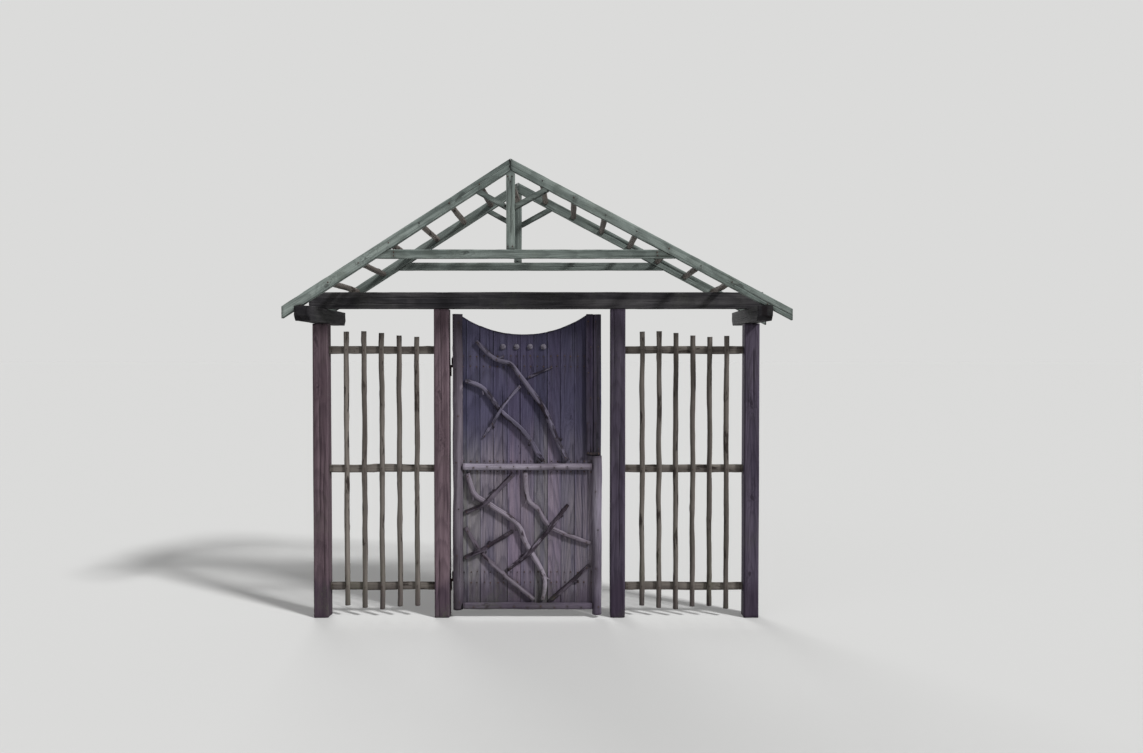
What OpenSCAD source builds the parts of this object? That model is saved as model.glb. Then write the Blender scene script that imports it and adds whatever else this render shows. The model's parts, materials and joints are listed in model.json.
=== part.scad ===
// Rustic garden arbour gate whose boarded leaf has a moon-cut top.
// X runs along the gateway, Y through it and Z up.
// The origin is the centre of the hinge post's foot, and heights are above the ground.

/* [Gateway] */
// Clear width between the two gate posts
opening_w = 1000; // [960:10:1040]
// Side of the square timber posts
post_w = 95; // [85:5:110]
// Height of the two gate posts, which carry the header
gate_post_h = 1925; // [1920:5:1980]
// Width of the bevel along the edges of a post
post_bevel = 7; // [2:1:15]
// Height of the header's cross-section
header_h = 105; // [80:5:140]
// Thickness of the header, front to back
header_t = 80; // [60:5:95]
// Distance from the gate's middle to the left outer post
left_reach = 1300; // [1150:10:1450]
// Distance from the gate's middle to the right outer post
right_reach = 1380; // [1200:10:1500]
// Height and width of the cross arms on the outer posts
arm_w = 90; // [70:5:100]
// How far a cross arm runs past the outside of a truss
arm_overhang = 45; // [20:5:90]

/* [Roof] */
// Height of the ridge
ridge_h = 2780; // [2600:10:2900]
// How far the ridge stands left of the gate's middle
ridge_shift = 95; // [0:5:200]
// Distance from the gate's plane to the middle of each truss
truss_y = 350; // [250:10:450]
// Depth of a rafter, square to its slope
rafter_d = 60; // [45:5:75]
// Thickness of the truss timbers, front to back
truss_t = 45; // [35:5:60]
// Depth of the notch that seats a rafter on its arm
seat_depth = 20; // [10:1:25]
// How far the left rafter tails run past the arm
left_tail = 85; // [40:5:160]
// How far the right rafter tails run past the arm
right_tail = 125; // [40:5:200]
// Height of the underside of the collar ties
collar_z = 2200; // [2120:10:2300]
// Depth of a collar tie
collar_d = 52; // [40:2:70]
// Width of a king post
king_w = 52; // [40:2:70]
// Depth of a strut
strut_d = 36; // [25:1:45]
// Height at which the struts leave the king post
strut_z = 2500; // [2400:10:2550]
// Slope of the struts, as rise over run
strut_slope = 0.55; // [0.4:0.05:0.8]
// Diameter of the ridge pole
ridge_pole_d = 50; // [40:2:60]
// Diameter of the rungs that lie between the trusses
rung_d = 38; // [25:1:45]
// Number of rungs on the left slope
left_rungs = 6; // [4:1:8]
// Number of rungs on the right slope
right_rungs = 7; // [4:1:9]

/* [Wing trellis] */
// Diameter of the poles that are split for the trellis rails
trellis_rail_d = 52; // [36:2:60]
// Diameter of the poles that are split for the trellis stakes
stake_d = 34; // [24:2:40]
// Height of the foot of the stakes
stake_foot = 60; // [20:5:120]
// Height of the top of the stakes
stake_top = 1770; // [1720:10:1790]
// Number of stakes in the left wing
left_stakes = 5; // [4:1:7]
// Number of stakes in the right wing
right_stakes = 6; // [4:1:8]

/* [Leaf] */
// Gap between the hinge post and the leaf
hinge_gap = 24; // [20:1:30]
// Gap between the leaf and the latch post
latch_gap = 54; // [30:2:80]
// Number of upright boards
board_count = 11; // [9:1:13]
// Thickness of the boards
board_t = 22; // [16:1:28]
// Gap between neighbouring boards on the face
board_gap = 3; // [2:0.5:6]
// How far a board's tongue reaches behind its neighbour's lip
board_lap = 10; // [8:0.5:14]
// Height of the boards' lower ends
leaf_foot = 50; // [40:5:80]
// Height of the leaf's top corners
leaf_top = 1893; // [1860:1:1900]
// Radius of the moon cut
moon_r = 700; // [600:10:900]
// Height of the lowest point of the moon cut
moon_z = 1768; // [1740:1:1800]
// How far the moon cut stands left of the leaf's middle
moon_shift = 25; // [0:5:40]
// Diameter of the half-round hinge stile
hinge_stile_d = 66; // [50:2:70]
// Diameter of the half-log below the latch
latch_log_d = 62; // [50:2:66]
// Width of the pair of laths above the latch
latch_stile_w = 88; // [70:2:90]
// Gap between the two laths
lath_gap = 3; // [2:0.5:5]
// Thickness of the laths above the latch
latch_stile_t = 20; // [14:1:26]
// Height at which the two latch stiles meet
latch_z = 1012; // [1000:2:1030]
// Height of the middle of the mid rail
mid_rail_z = 944; // [930:2:950]
// Diameter of the mid rail
mid_rail_d = 42; // [36:1:46]
// Height of the middle of the bottom rail
bottom_rail_z = 74; // [72:1:76]
// Diameter of the bottom rail
bottom_rail_d = 44; // [36:1:46]
// Height of the ledges on the back
ledge_h = 90; // [70:5:110]
// Thickness of the ledges on the back
ledge_t = 30; // [24:1:34]

/* [Branchwork] */
// Sides of a branch's cross-section
branch_sides = 12; // [8:2:14]
// Steps between two points of a branch's path
branch_steps = 4; // [2:1:4]
// Swelling of a branch at the points of its path, as a share of its radius
branch_swell = 0.06; // [0:0.01:0.12]
// Height of a branch's core above the boards, as a share of its radius
branch_seat = 0.75; // [0.6:0.05:0.9]

/* [Ironwork and pegs] */
// Diameter of the pintle pins
pin_d = 10; // [8:1:12]
// Clearance between a pin and its eye, all round
pin_play = 0.5; // [0.3:0.1:1]
// Outer diameter of the hinge eyes
eye_d = 20; // [18:1:20]
// Height of the hinge eyes
eye_h = 42; // [30:2:50]
// Length of the hinge straps
strap_l = 420; // [300:10:560]
// Thickness of the hinge straps
strap_t = 5; // [4:1:6]
// Diameter of the round pegs below the moon cut
peg_d = 36; // [24:2:40]
// Height of the pegs
peg_z = 1690; // [1680:2:1700]

/* [Hidden] */
$fn = 64;

// Plan positions along X
gate_x = post_w / 2 + opening_w / 2;
latch_post_x = post_w + opening_w;
left_post_x = gate_x - left_reach;
right_post_x = gate_x + right_reach;
ridge_x = gate_x - ridge_shift;

// Cross arms and outer posts
arm_top = gate_post_h;
outer_post_h = arm_top - arm_w;
arm_half = truss_y + truss_t / 2 + arm_overhang;
arm_bevel = 30;

// Slopes of the two rakes, from the ridge to the notch over each arm's outer edge
left_run = ridge_x - (left_post_x - arm_w / 2);
right_run = (right_post_x + arm_w / 2) - ridge_x;
notch_z = arm_top - seat_depth;
rake_drop = ridge_h - notch_z;
left_angle = rake_angle(left_run);
right_angle = rake_angle(right_run);
rung_clearance = 12;

// Wing trellis
trellis_y = -6;
trellis_rail_heights = [190, 930, 1670];
trellis_rail_seat = 0.3;
stake_seat = 0.4;

// Leaf outline
leaf_x = post_w / 2 + hinge_gap;
leaf_w = opening_w - hinge_gap - latch_gap;
board_pitch = leaf_w / board_count;
board_w = board_pitch - board_gap;
board_back = -3;
board_face = board_back - board_t;
lap_play = 1;
moon_x = leaf_x + leaf_w / 2 - moon_shift;
stile_inset = 5;
log_foot = 20;
ledge_back = board_back + ledge_t;
ledge_inset = 14;
ledge_bevel = 7;
ledge_heights = [250, mid_rail_z, 1600];
hinge_stile_x = leaf_x - stile_inset + hinge_stile_d / 2;
latch_log_x = leaf_x + leaf_w + 4 - latch_log_d / 2;
latch_stile_x = leaf_x + leaf_w - 8 - latch_stile_w;
hinge_stile_seat = 0;
latch_log_seat = 0.1;
rail_seat = 0.6;
rail_start = hinge_stile_x + hinge_stile_d / 2;
rail_end = latch_log_x - latch_log_d / 2;

// Hinge axis
axis_x = post_w / 2 + 15;
axis_y = ledge_back + eye_d / 2;
hinge_heights = [ledge_heights[0], ledge_heights[2]];
strap_h = 40;
strap_tip_h = 24;

// Latch bar
latch_bar_w = 84;
latch_bar_h = 16;
latch_bar_t = 9;
latch_bar_z = latch_z + 16;

// Paths of the branches: x from the leaf's hinge edge, height, lift off the boards, radius
upper_branch_a_path = [
    [145, 1725, 0, 11], [207, 1662, 0, 13], [270, 1612, 0, 14], [357, 1581, 0, 15], [414, 1512, 0, 15],
    [476, 1431, 0, 16], [551, 1325, 0, 16], [588, 1256, 0, 16], [638, 1125, 0, 17], [708, 982, 0, 17]
];
upper_branch_b_path = [
    [76, 1478, 0, 13], [186, 1431, 0, 14], [295, 1291, 0, 14], [407, 1194, 0, 15],
    [479, 1109, 0, 15], [532, 1020, 0, 15], [560, 982, 0, 15]
];
upper_branch_c_path = [
    [420, 1447, 0, 10], [352, 1372, 0, 10], [316, 1326, 27, 9], [275, 1260, 27, 9],
    [246, 1212, 0, 9], [186, 1125, 0, 7]
];
upper_twig_path = [[466, 1499, 0, 8], [536, 1530, 0, 7], [618, 1562, 0, 5]];
lower_branch_a_path = [
    [86, 902, 0, 16], [130, 775, 0, 17], [226, 706, 0, 17], [395, 588, 0, 17],
    [451, 469, 0, 16], [564, 256, 0, 15], [556, 112, 0, 14]
];
lower_branch_b_path = [
    [374, 898, 0, 14], [278, 797, 0, 14], [240, 757, 32, 14], [186, 708, 32, 13],
    [140, 684, 0, 13], [74, 657, 0, 12]
];
lower_branch_c_path = [
    [449, 912, 0, 14], [464, 746, 0, 14], [532, 675, 0, 14], [588, 581, 0, 14],
    [688, 525, 0, 13], [852, 464, 0, 12]
];
lower_branch_d_path = [[76, 566, 0, 12], [170, 412, 0, 13], [312, 272, 0, 13], [500, 114, 0, 13]];
lower_branch_e_path = [
    [72, 375, 0, 12], [118, 396, 0, 12], [146, 411, 25, 12], [186, 431, 25, 12],
    [220, 449, 0, 12], [367, 538, 0, 9]
];
lower_branch_f_path = [
    [338, 300, 0, 11], [430, 370, 0, 12], [456, 395, 30, 12], [500, 440, 30, 12], [546, 491, 12, 12],
    [590, 546, 27, 12], [628, 594, 27, 12], [658, 634, 0, 11], [714, 706, 0, 9]
];
lower_branch_g_path = [[612, 112, 0, 13], [745, 231, 0, 13], [848, 328, 0, 12]];

// Stubs of side twigs: point of the path, side of the branch, length
upper_branch_a_stubs = [[2, -1, 44], [5, 1, 38], [8, -1, 42]];
upper_branch_b_stubs = [[1, 1, 38], [4, 1, 34]];
upper_branch_c_stubs = [[4, -1, 28]];
lower_branch_a_stubs = [[1, 1, 40], [3, 1, 44], [5, -1, 40]];
lower_branch_b_stubs = [[1, 1, 34]];
lower_branch_c_stubs = [[1, 1, 38], [4, 1, 34]];
lower_branch_d_stubs = [[1, -1, 36], [2, 1, 34]];
lower_branch_e_stubs = [[4, -1, 30]];
lower_branch_f_stubs = [[1, -1, 30], [7, 1, 26]];
lower_branch_g_stubs = [[1, 1, 34]];
stub_lean = 0.9;
stub_share = 0.5;
stub_taper = 0.7;

// Colours of the finishes
post_colour = [0.35, 0.29, 0.33];
header_colour = [0.17, 0.16, 0.18];
roof_colour = [0.38, 0.42, 0.40];
trellis_colour = [0.38, 0.35, 0.33];
board_colour = [0.31, 0.29, 0.35];
stile_colour = [0.39, 0.36, 0.41];
log_colour = [0.41, 0.38, 0.43];
branch_colour = [0.36, 0.34, 0.38];
iron_colour = [0.12, 0.11, 0.13];
peg_colour = [0.38, 0.37, 0.43];

// Square timber standing on z = 0, with bevelled edges
module square_post(h) {
    half = post_w / 2;
    cut = half - post_bevel;
    linear_extrude(h)
        polygon([
            [half, -cut], [half, cut], [cut, half], [-cut, half],
            [-half, cut], [-half, -cut], [-cut, -half], [cut, -half]
        ]);
}

// Stands an outline drawn in the XZ plane upright, from y0 to y0 + t
module upright(y0, t) {
    translate([0, y0 + t, 0])
        rotate([90, 0, 0])
            linear_extrude(t)
                children();
}

// Cross arm along Y, with its lower ends bevelled
module cross_arm(x) {
    translate([x - arm_w / 2, 0, arm_top])
        rotate([90, 0, 90])
            linear_extrude(arm_w)
                polygon([
                    [-arm_half, 0], [-arm_half, -arm_w + arm_bevel], [-arm_half + arm_bevel, -arm_w],
                    [arm_half - arm_bevel, -arm_w], [arm_half, -arm_w + arm_bevel], [arm_half, 0]
                ]);
}

// Slope of a rafter whose lower edge meets the notch height at the end of its run
function rake_angle(run) = acos(rafter_d / norm([rake_drop, run])) - atan(run / rake_drop);

// Height of a rake's top edge at a distance from the ridge
function rake_top(run, angle) = ridge_h - run * tan(angle);

// Height of a rafter's lower edge at a distance from the ridge
function rake_under(run, angle) = rake_top(run, angle) - rafter_d / cos(angle);

// Outline of a rafter that falls to +X from x = 0, notched over the arm whose outer edge is at run
module rafter_outline(run, tail, angle) {
    difference() {
        polygon([
            [0, rake_top(0, angle)], [run + tail, rake_top(run + tail, angle)],
            [run + tail, rake_under(run + tail, angle)], [0, rake_under(0, angle)]
        ]);
        translate([run - arm_w, arm_top - arm_w])
            square([arm_w, arm_w]);
    }
}

// Rafter of the left slope in the truss at y
module left_rafter(y) {
    translate([ridge_x, 0, 0])
        mirror([1, 0, 0])
            upright(y - truss_t / 2, truss_t)
                rafter_outline(left_run, left_tail, left_angle);
}

// Rafter of the right slope in the truss at y
module right_rafter(y) {
    translate([ridge_x, 0, 0])
        upright(y - truss_t / 2, truss_t)
            rafter_outline(right_run, right_tail, right_angle);
}

// Space under the two rakes, seen from the front with the ridge at x = 0
module under_rakes() {
    polygon([
        [0, rake_under(0, right_angle)], [right_run, rake_under(right_run, right_angle)],
        [-left_run, rake_under(left_run, left_angle)], [0, rake_under(0, left_angle)]
    ]);
}

// Collar tie of the truss at y, its ends cut to the rafters
module collar_tie(y) {
    translate([ridge_x, 0, 0])
        upright(y - truss_t / 2, truss_t)
            intersection() {
                under_rakes();
                translate([-left_run, collar_z])
                    square([left_run + right_run, collar_d]);
            }
}

// King post of the truss at y, from the collar tie up into the peak
module king_post(y) {
    translate([ridge_x, 0, 0])
        upright(y - truss_t / 2, truss_t)
            intersection() {
                under_rakes();
                translate([-king_w / 2, collar_z + collar_d])
                    square([king_w, ridge_h - collar_z]);
            }
}

// Band of a strut that rises to +X from the king post's face
module strut_band(length) {
    low = strut_z - strut_d / 2;
    polygon([
        [king_w / 2, low], [king_w / 2, low + strut_d],
        [king_w / 2 + length, low + strut_d + length * strut_slope],
        [king_w / 2 + length, low + length * strut_slope]
    ]);
}

// The two struts of the truss at y
module strut_pair(y) {
    strut_reach = 450;
    translate([ridge_x, 0, 0])
        upright(y - truss_t / 2, truss_t)
            intersection() {
                under_rakes();
                union() {
                    strut_band(strut_reach);
                    mirror([1, 0])
                        strut_band(strut_reach);
                }
            }
}

// Round pole along Y between the trusses, at a point of the XZ plane
module between_trusses(x, z, d) {
    length = 2 * truss_y - truss_t;
    translate([x, length / 2, z])
        rotate([90, 0, 0])
            cylinder(d = d, h = length);
}

// Height of a rafter's middle at a distance from the ridge
function rake_middle(run, angle) = (rake_top(run, angle) + rake_under(run, angle)) / 2;

// Rungs of one slope, down to just above the header: side is -1 for the left and 1 for the right
module rungs(side, count, angle) {
    lowest_z = gate_post_h + header_h + rung_d / 2 + rung_clearance;
    reach = (rake_middle(0, angle) - lowest_z) / tan(angle);
    for (i = [1 : count]) {
        out = reach * i / count;
        between_trusses(ridge_x + side * out, rake_middle(out, angle), rung_d);
    }
}

// Section of a pole whose back is flattened: the flat lies on y = 0 and the round towards -y
module flat_backed(d, seat) {
    intersection() {
        translate([0, -seat * d / 2])
            circle(d = d);
        translate([-d, -2 * d])
            square([2 * d, 2 * d]);
    }
}

// Flat-backed pole along +Z from z0 to z1, seated on the plane y from the front
module seated_upright(x, y, z0, z1, d, seat) {
    translate([x, y, z0])
        linear_extrude(z1 - z0)
            flat_backed(d, seat);
}

// Flat-backed pole along +X from x0 to x1, seated on the plane y from the front
module seated_rail(x0, x1, y, z, d, seat) {
    translate([x0, y, z])
        rotate([90, 0, 90])
            linear_extrude(x1 - x0)
                rotate(-90)
                    flat_backed(d, seat);
}

// Split rails of one wing between two post faces, with their flats to the front
module trellis_rails(x0, x1) {
    for (z = trellis_rail_heights)
        translate([0, trellis_y, 0])
            mirror([0, 1, 0])
                seated_rail(x0, x1, 0, z, trellis_rail_d, trellis_rail_seat);
}

// Split stakes of one wing, nailed to the flats of its rails, with uneven ends
module trellis_stakes(x0, x1, count) {
    for (i = [1 : count])
        seated_upright(
            x0 + (x1 - x0) * i / (count + 1), trellis_y,
            stake_foot + 12 * sin(97 * i), stake_top + 18 * sin(53 * i), stake_d, stake_seat
        );
}

// Pintle hook on the hinge post, whose pin carries an eye that stands at z
module pintle(z) {
    shoulder = 1;
    plate_t = 5;
    plate_w = 30;
    plate_h = 72;
    boss_h = 18;
    top = z - shoulder;
    pin_rise = eye_h + 9;
    translate([post_w / 2, axis_y - plate_w / 2 - 6, top - plate_h])
        cube([plate_t, plate_w, plate_h]);
    translate([post_w / 2, axis_y - eye_d / 2, top - boss_h])
        cube([axis_x - post_w / 2, eye_d, boss_h]);
    translate([axis_x, axis_y, top - boss_h])
        cylinder(d = eye_d, h = boss_h);
    translate([axis_x, axis_y, top - boss_h])
        cylinder(d = pin_d, h = boss_h + pin_rise);
}

// Strap hinge on the back of a ledge, with its eye standing at z
module strap_hinge(z) {
    mid = z + eye_h / 2;
    difference() {
        union() {
            upright(ledge_back, strap_t)
                union() {
                    polygon([
                        [axis_x, mid - eye_h / 2 + 1], [leaf_x + ledge_inset + 30, mid - strap_h / 2],
                        [leaf_x + strap_l, mid - strap_tip_h / 2], [leaf_x + strap_l, mid + strap_tip_h / 2],
                        [leaf_x + ledge_inset + 30, mid + strap_h / 2], [axis_x, mid + eye_h / 2 - 1]
                    ]);
                    translate([leaf_x + strap_l, mid])
                        circle(d = strap_tip_h);
                }
            translate([axis_x, axis_y, z])
                cylinder(d = eye_d, h = eye_h);
        }
        translate([axis_x, axis_y, z - 1])
            cylinder(d = pin_d + 2 * pin_play, h = eye_h + 2);
    }
}

// Shiplap board i along +Z: its tongue lies behind the lip of the next board
module shiplap_board(i) {
    left = leaf_x + i * board_pitch + board_gap / 2;
    right = left + board_w;
    back_left = i == 0 ? left : left + board_lap;
    back_right = i == board_count - 1 ? right : right + board_lap;
    lip = (board_face + board_back) / 2;
    linear_extrude(leaf_top)
        polygon([
            [left, board_face], [right, board_face], [right, lip + lap_play], [back_right, lip + lap_play],
            [back_right, board_back], [back_left, board_back], [back_left, lip], [left, lip]
        ]);
}

// Moon-cut outline of the leaf, seen from the front
module leaf_outline() {
    difference() {
        translate([leaf_x, leaf_foot])
            square([leaf_w, leaf_top - leaf_foot]);
        translate([moon_x, moon_z + moon_r])
            circle(r = moon_r, $fn = 360);
    }
}

// Position on a smooth curve through four numbers or points, at t from 0 to 1 between b and c
function glide(a, b, c, d, t) =
    b + 0.5 * t * ((c - a) + t * ((2 * a - 5 * b + 4 * c - d) + t * (3 * (b - c) + d - a)));

// Points of a smooth curve through a branch's path
function smooth_path(path) =
    let (last = len(path) - 1)
    [
        for (i = [0 : last - 1], s = [0 : branch_steps - 1])
            glide(
                path[max(i - 1, 0)], path[i], path[i + 1], path[min(i + 2, last)],
                s / branch_steps
            ),
        path[last]
    ];

// Direction of travel along a smooth path at point i, seen from the front
function travel(path, i) =
    let (a = path[max(i - 1, 0)], b = path[min(i + 1, len(path) - 1)], v = [b[0] - a[0], b[1] - a[1]])
    v / norm(v);

// Cross-section of a branch at point i, with its back flattened against the boards
function branch_ring(path, i) =
    let (
        p = path[i], dir = travel(path, i), side = [dir[1], -dir[0]], lift = max(p[2], 0),
        r = p[3] * (1 + branch_swell * cos(360 * i / branch_steps))
    )
    [
        for (k = [0 : branch_sides - 1])
            let (a = 360 * (k + 0.5) / branch_sides, across = r * cos(a))
            [
                leaf_x + p[0] + side[0] * across,
                board_face - lift - max(r * (sin(a) + branch_seat), 0),
                p[1] + side[1] * across
            ]
    ];

// Round wood along a line of rings
module bough(line) {
    rings = len(line);
    n = branch_sides;
    points = [for (i = [0 : rings - 1]) each branch_ring(line, i)];
    walls = [
        for (i = [0 : rings - 2], k = [0 : n - 1])
            let (a = i * n + k, b = i * n + (k + 1) % n)
            each [[a, b, a + n], [b, b + n, a + n]]
    ];
    start_cap = [for (k = [n - 1 : -1 : 0]) k];
    end_cap = [for (k = [0 : n - 1]) (rings - 1) * n + k];
    polyhedron(points = points, faces = concat([start_cap], walls, [end_cap]));
}

// Line of a stub that leaves a branch at its path's point i, leaning forwards
function stub_line(path, i, turn, length) =
    let (
        p = path[i], dir = travel(path, i), out = turn * [dir[1], -dir[0]] + stub_lean * dir,
        step = out / norm(out) * length, r = p[3] * stub_share
    )
    [
        for (share = [0, 0.5, 1])
            [p[0] + step[0] * share, p[1] + step[1] * share, p[2], r * (1 - (1 - stub_taper) * share)]
    ];

// Branch nailed to the face of the boards along a path, with stubs of its side twigs
module branch(path, stubs = []) {
    color(branch_colour)
        union() {
            bough(smooth_path(path));
            for (stub = stubs)
                bough(stub_line(path, stub[0], stub[1], stub[2]));
        }
}

module hinge_post() {
    color(post_colour)
        square_post(gate_post_h);
}

module latch_post() {
    color(post_colour)
        translate([latch_post_x, 0, 0])
            square_post(gate_post_h);
}

module outer_post_left() {
    color(post_colour)
        translate([left_post_x, 0, 0])
            square_post(outer_post_h);
}

module outer_post_right() {
    color(post_colour)
        translate([right_post_x, 0, 0])
            square_post(outer_post_h);
}

module cross_arm_left() {
    color(header_colour)
        cross_arm(left_post_x);
}

module cross_arm_right() {
    color(header_colour)
        cross_arm(right_post_x);
}

module header() {
    overhang = 70;
    color(header_colour)
        translate([left_post_x - overhang, -header_t / 2, gate_post_h])
            cube([right_post_x - left_post_x + 2 * overhang, header_t, header_h]);
}

module front_rafter_left() {
    color(roof_colour)
        left_rafter(-truss_y);
}

module front_rafter_right() {
    color(roof_colour)
        right_rafter(-truss_y);
}

module rear_rafter_left() {
    color(roof_colour)
        left_rafter(truss_y);
}

module rear_rafter_right() {
    color(roof_colour)
        right_rafter(truss_y);
}

module front_collar_tie() {
    color(roof_colour)
        collar_tie(-truss_y);
}

module rear_collar_tie() {
    color(roof_colour)
        collar_tie(truss_y);
}

module front_king_post() {
    color(roof_colour)
        king_post(-truss_y);
}

module rear_king_post() {
    color(roof_colour)
        king_post(truss_y);
}

module front_struts() {
    color(roof_colour)
        strut_pair(-truss_y);
}

module rear_struts() {
    color(roof_colour)
        strut_pair(truss_y);
}

module ridge_pole() {
    drop = 2.3 * rafter_d;
    color(trellis_colour)
        between_trusses(ridge_x, ridge_h - drop, ridge_pole_d);
}

module roof_rungs() {
    color(trellis_colour) {
        rungs(-1, left_rungs, left_angle);
        rungs(1, right_rungs, right_angle);
    }
}

module trellis_rails_left() {
    color(trellis_colour)
        trellis_rails(left_post_x + post_w / 2, -post_w / 2);
}

module trellis_stakes_left() {
    color(trellis_colour)
        trellis_stakes(left_post_x + post_w / 2, -post_w / 2, left_stakes);
}

module trellis_rails_right() {
    color(trellis_colour)
        trellis_rails(latch_post_x + post_w / 2, right_post_x - post_w / 2);
}

module trellis_stakes_right() {
    color(trellis_colour)
        trellis_stakes(latch_post_x + post_w / 2, right_post_x - post_w / 2, right_stakes);
}

module hinge_pintles() {
    color(iron_colour)
        for (z = hinge_heights)
            pintle(z - eye_h / 2);
}

module leaf_boards() {
    color(board_colour)
        for (i = [0 : board_count - 1])
            intersection() {
                shiplap_board(i);
                upright(board_face, board_t)
                    leaf_outline();
            }
}

module hinge_stile() {
    color(stile_colour)
        seated_upright(hinge_stile_x, board_face, leaf_foot, leaf_top, hinge_stile_d, hinge_stile_seat);
}

module latch_stile() {
    lath_w = (latch_stile_w - lath_gap) / 2;
    color(stile_colour)
        for (x = [latch_stile_x, latch_stile_x + lath_w + lath_gap])
            translate([x, board_face - latch_stile_t, latch_z])
                cube([lath_w, latch_stile_t, leaf_top - latch_z]);
}

module latch_log() {
    color(log_colour)
        seated_upright(latch_log_x, board_face, log_foot, latch_z, latch_log_d, latch_log_seat);
}

module mid_rail() {
    color(stile_colour)
        seated_rail(rail_start, rail_end, board_face, mid_rail_z, mid_rail_d, rail_seat);
}

module bottom_rail() {
    color(stile_colour)
        seated_rail(rail_start, rail_end, board_face, bottom_rail_z, bottom_rail_d, rail_seat);
}

module back_ledges() {
    half = ledge_h / 2;
    color(board_colour)
        for (z = ledge_heights)
            translate([leaf_x + ledge_inset, 0, z])
                rotate([90, 0, 90])
                    linear_extrude(leaf_w - 2 * ledge_inset)
                        polygon([
                            [board_back, -half], [ledge_back - ledge_bevel, -half],
                            [ledge_back, -half + ledge_bevel], [ledge_back, half - ledge_bevel],
                            [ledge_back - ledge_bevel, half], [board_back, half]
                        ]);
}

module strap_hinges() {
    color(iron_colour)
        for (z = hinge_heights)
            strap_hinge(z - eye_h / 2);
}

module latch_bar() {
    mid_x = latch_stile_x + latch_stile_w / 2;
    end_x = (latch_bar_w - latch_bar_h) / 2;
    color(iron_colour)
        upright(board_face - latch_stile_t - latch_bar_t, latch_bar_t)
            translate([mid_x, latch_bar_z])
                union() {
                    square([2 * end_x, latch_bar_h], center = true);
                    for (side = [-1, 1])
                        translate([side * end_x, 0])
                            circle(d = latch_bar_h);
                }
}

module moon_pegs() {
    first_board = 3;
    peg_offset = 17;
    dome_r = 24;
    neck = 5;
    dome_drop = sqrt(dome_r * dome_r - peg_d * peg_d / 4);
    color(peg_colour)
        for (i = [0 : 3])
            translate([leaf_x + (first_board + i + 0.5) * board_pitch + peg_offset, board_face, peg_z])
                rotate([90, 0, 0]) {
                    cylinder(d = peg_d, h = neck);
                    intersection() {
                        translate([0, 0, neck - dome_drop])
                            sphere(r = dome_r);
                        translate([0, 0, neck])
                            cylinder(d = 2 * dome_r, h = dome_r);
                    }
                }
}

module upper_branch_a() {
    branch(upper_branch_a_path, upper_branch_a_stubs);
}

module upper_branch_b() {
    branch(upper_branch_b_path, upper_branch_b_stubs);
}

module upper_branch_c() {
    branch(upper_branch_c_path, upper_branch_c_stubs);
}

module upper_twig() {
    branch(upper_twig_path);
}

module lower_branch_a() {
    branch(lower_branch_a_path, lower_branch_a_stubs);
}

module lower_branch_b() {
    branch(lower_branch_b_path, lower_branch_b_stubs);
}

module lower_branch_c() {
    branch(lower_branch_c_path, lower_branch_c_stubs);
}

module lower_branch_d() {
    branch(lower_branch_d_path, lower_branch_d_stubs);
}

module lower_branch_e() {
    branch(lower_branch_e_path, lower_branch_e_stubs);
}

module lower_branch_f() {
    branch(lower_branch_f_path, lower_branch_f_stubs);
}

module lower_branch_g() {
    branch(lower_branch_g_path, lower_branch_g_stubs);
}

hinge_post();
latch_post();
outer_post_left();
outer_post_right();
cross_arm_left();
cross_arm_right();
header();
front_rafter_left();
front_rafter_right();
rear_rafter_left();
rear_rafter_right();
front_collar_tie();
rear_collar_tie();
front_king_post();
rear_king_post();
front_struts();
rear_struts();
ridge_pole();
roof_rungs();
trellis_rails_left();
trellis_stakes_left();
trellis_rails_right();
trellis_stakes_right();
hinge_pintles();
leaf_boards();
hinge_stile();
latch_stile();
latch_log();
mid_rail();
bottom_rail();
back_ledges();
strap_hinges();
latch_bar();
moon_pegs();
upper_branch_a();
upper_branch_b();
upper_branch_c();
upper_twig();
lower_branch_a();
lower_branch_b();
lower_branch_c();
lower_branch_d();
lower_branch_e();
lower_branch_f();
lower_branch_g();
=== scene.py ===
"""Looks of a rustic arbour gate with a moon-cut leaf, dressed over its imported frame.

Lengths are metres in the frame's own axes: X along the gateway, Y through it and Z up.
"""

import itertools
import json
import logging
import math
from collections.abc import Callable, Iterable
from dataclasses import dataclass, field, replace
from enum import Enum

import bmesh
import bpy
import numpy as np
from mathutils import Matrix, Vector
from mathutils.bvhtree import BVHTree

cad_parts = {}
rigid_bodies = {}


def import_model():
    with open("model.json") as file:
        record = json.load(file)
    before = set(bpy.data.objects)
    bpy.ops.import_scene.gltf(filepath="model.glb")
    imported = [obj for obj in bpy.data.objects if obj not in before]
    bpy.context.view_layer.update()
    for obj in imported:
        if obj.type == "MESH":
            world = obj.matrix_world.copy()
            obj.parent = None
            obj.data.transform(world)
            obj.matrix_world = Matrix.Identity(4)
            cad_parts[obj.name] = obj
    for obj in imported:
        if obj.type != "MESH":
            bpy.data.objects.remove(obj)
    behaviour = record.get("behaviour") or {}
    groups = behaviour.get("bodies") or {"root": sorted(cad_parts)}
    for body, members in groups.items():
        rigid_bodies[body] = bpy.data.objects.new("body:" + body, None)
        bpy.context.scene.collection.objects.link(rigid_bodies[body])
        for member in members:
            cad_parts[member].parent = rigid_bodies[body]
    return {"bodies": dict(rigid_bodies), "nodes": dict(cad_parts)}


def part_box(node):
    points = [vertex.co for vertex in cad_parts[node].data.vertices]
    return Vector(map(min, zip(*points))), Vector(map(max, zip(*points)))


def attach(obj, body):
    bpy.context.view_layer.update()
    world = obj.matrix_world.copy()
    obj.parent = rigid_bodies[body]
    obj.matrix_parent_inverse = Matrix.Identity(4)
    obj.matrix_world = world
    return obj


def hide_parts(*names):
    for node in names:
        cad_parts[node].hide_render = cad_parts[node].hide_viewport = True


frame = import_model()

LOG = logging.getLogger("arbour_gate")
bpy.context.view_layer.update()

MM = 0.001
X = Vector((1, 0, 0))
Y = Vector((0, 1, 0))
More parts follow.
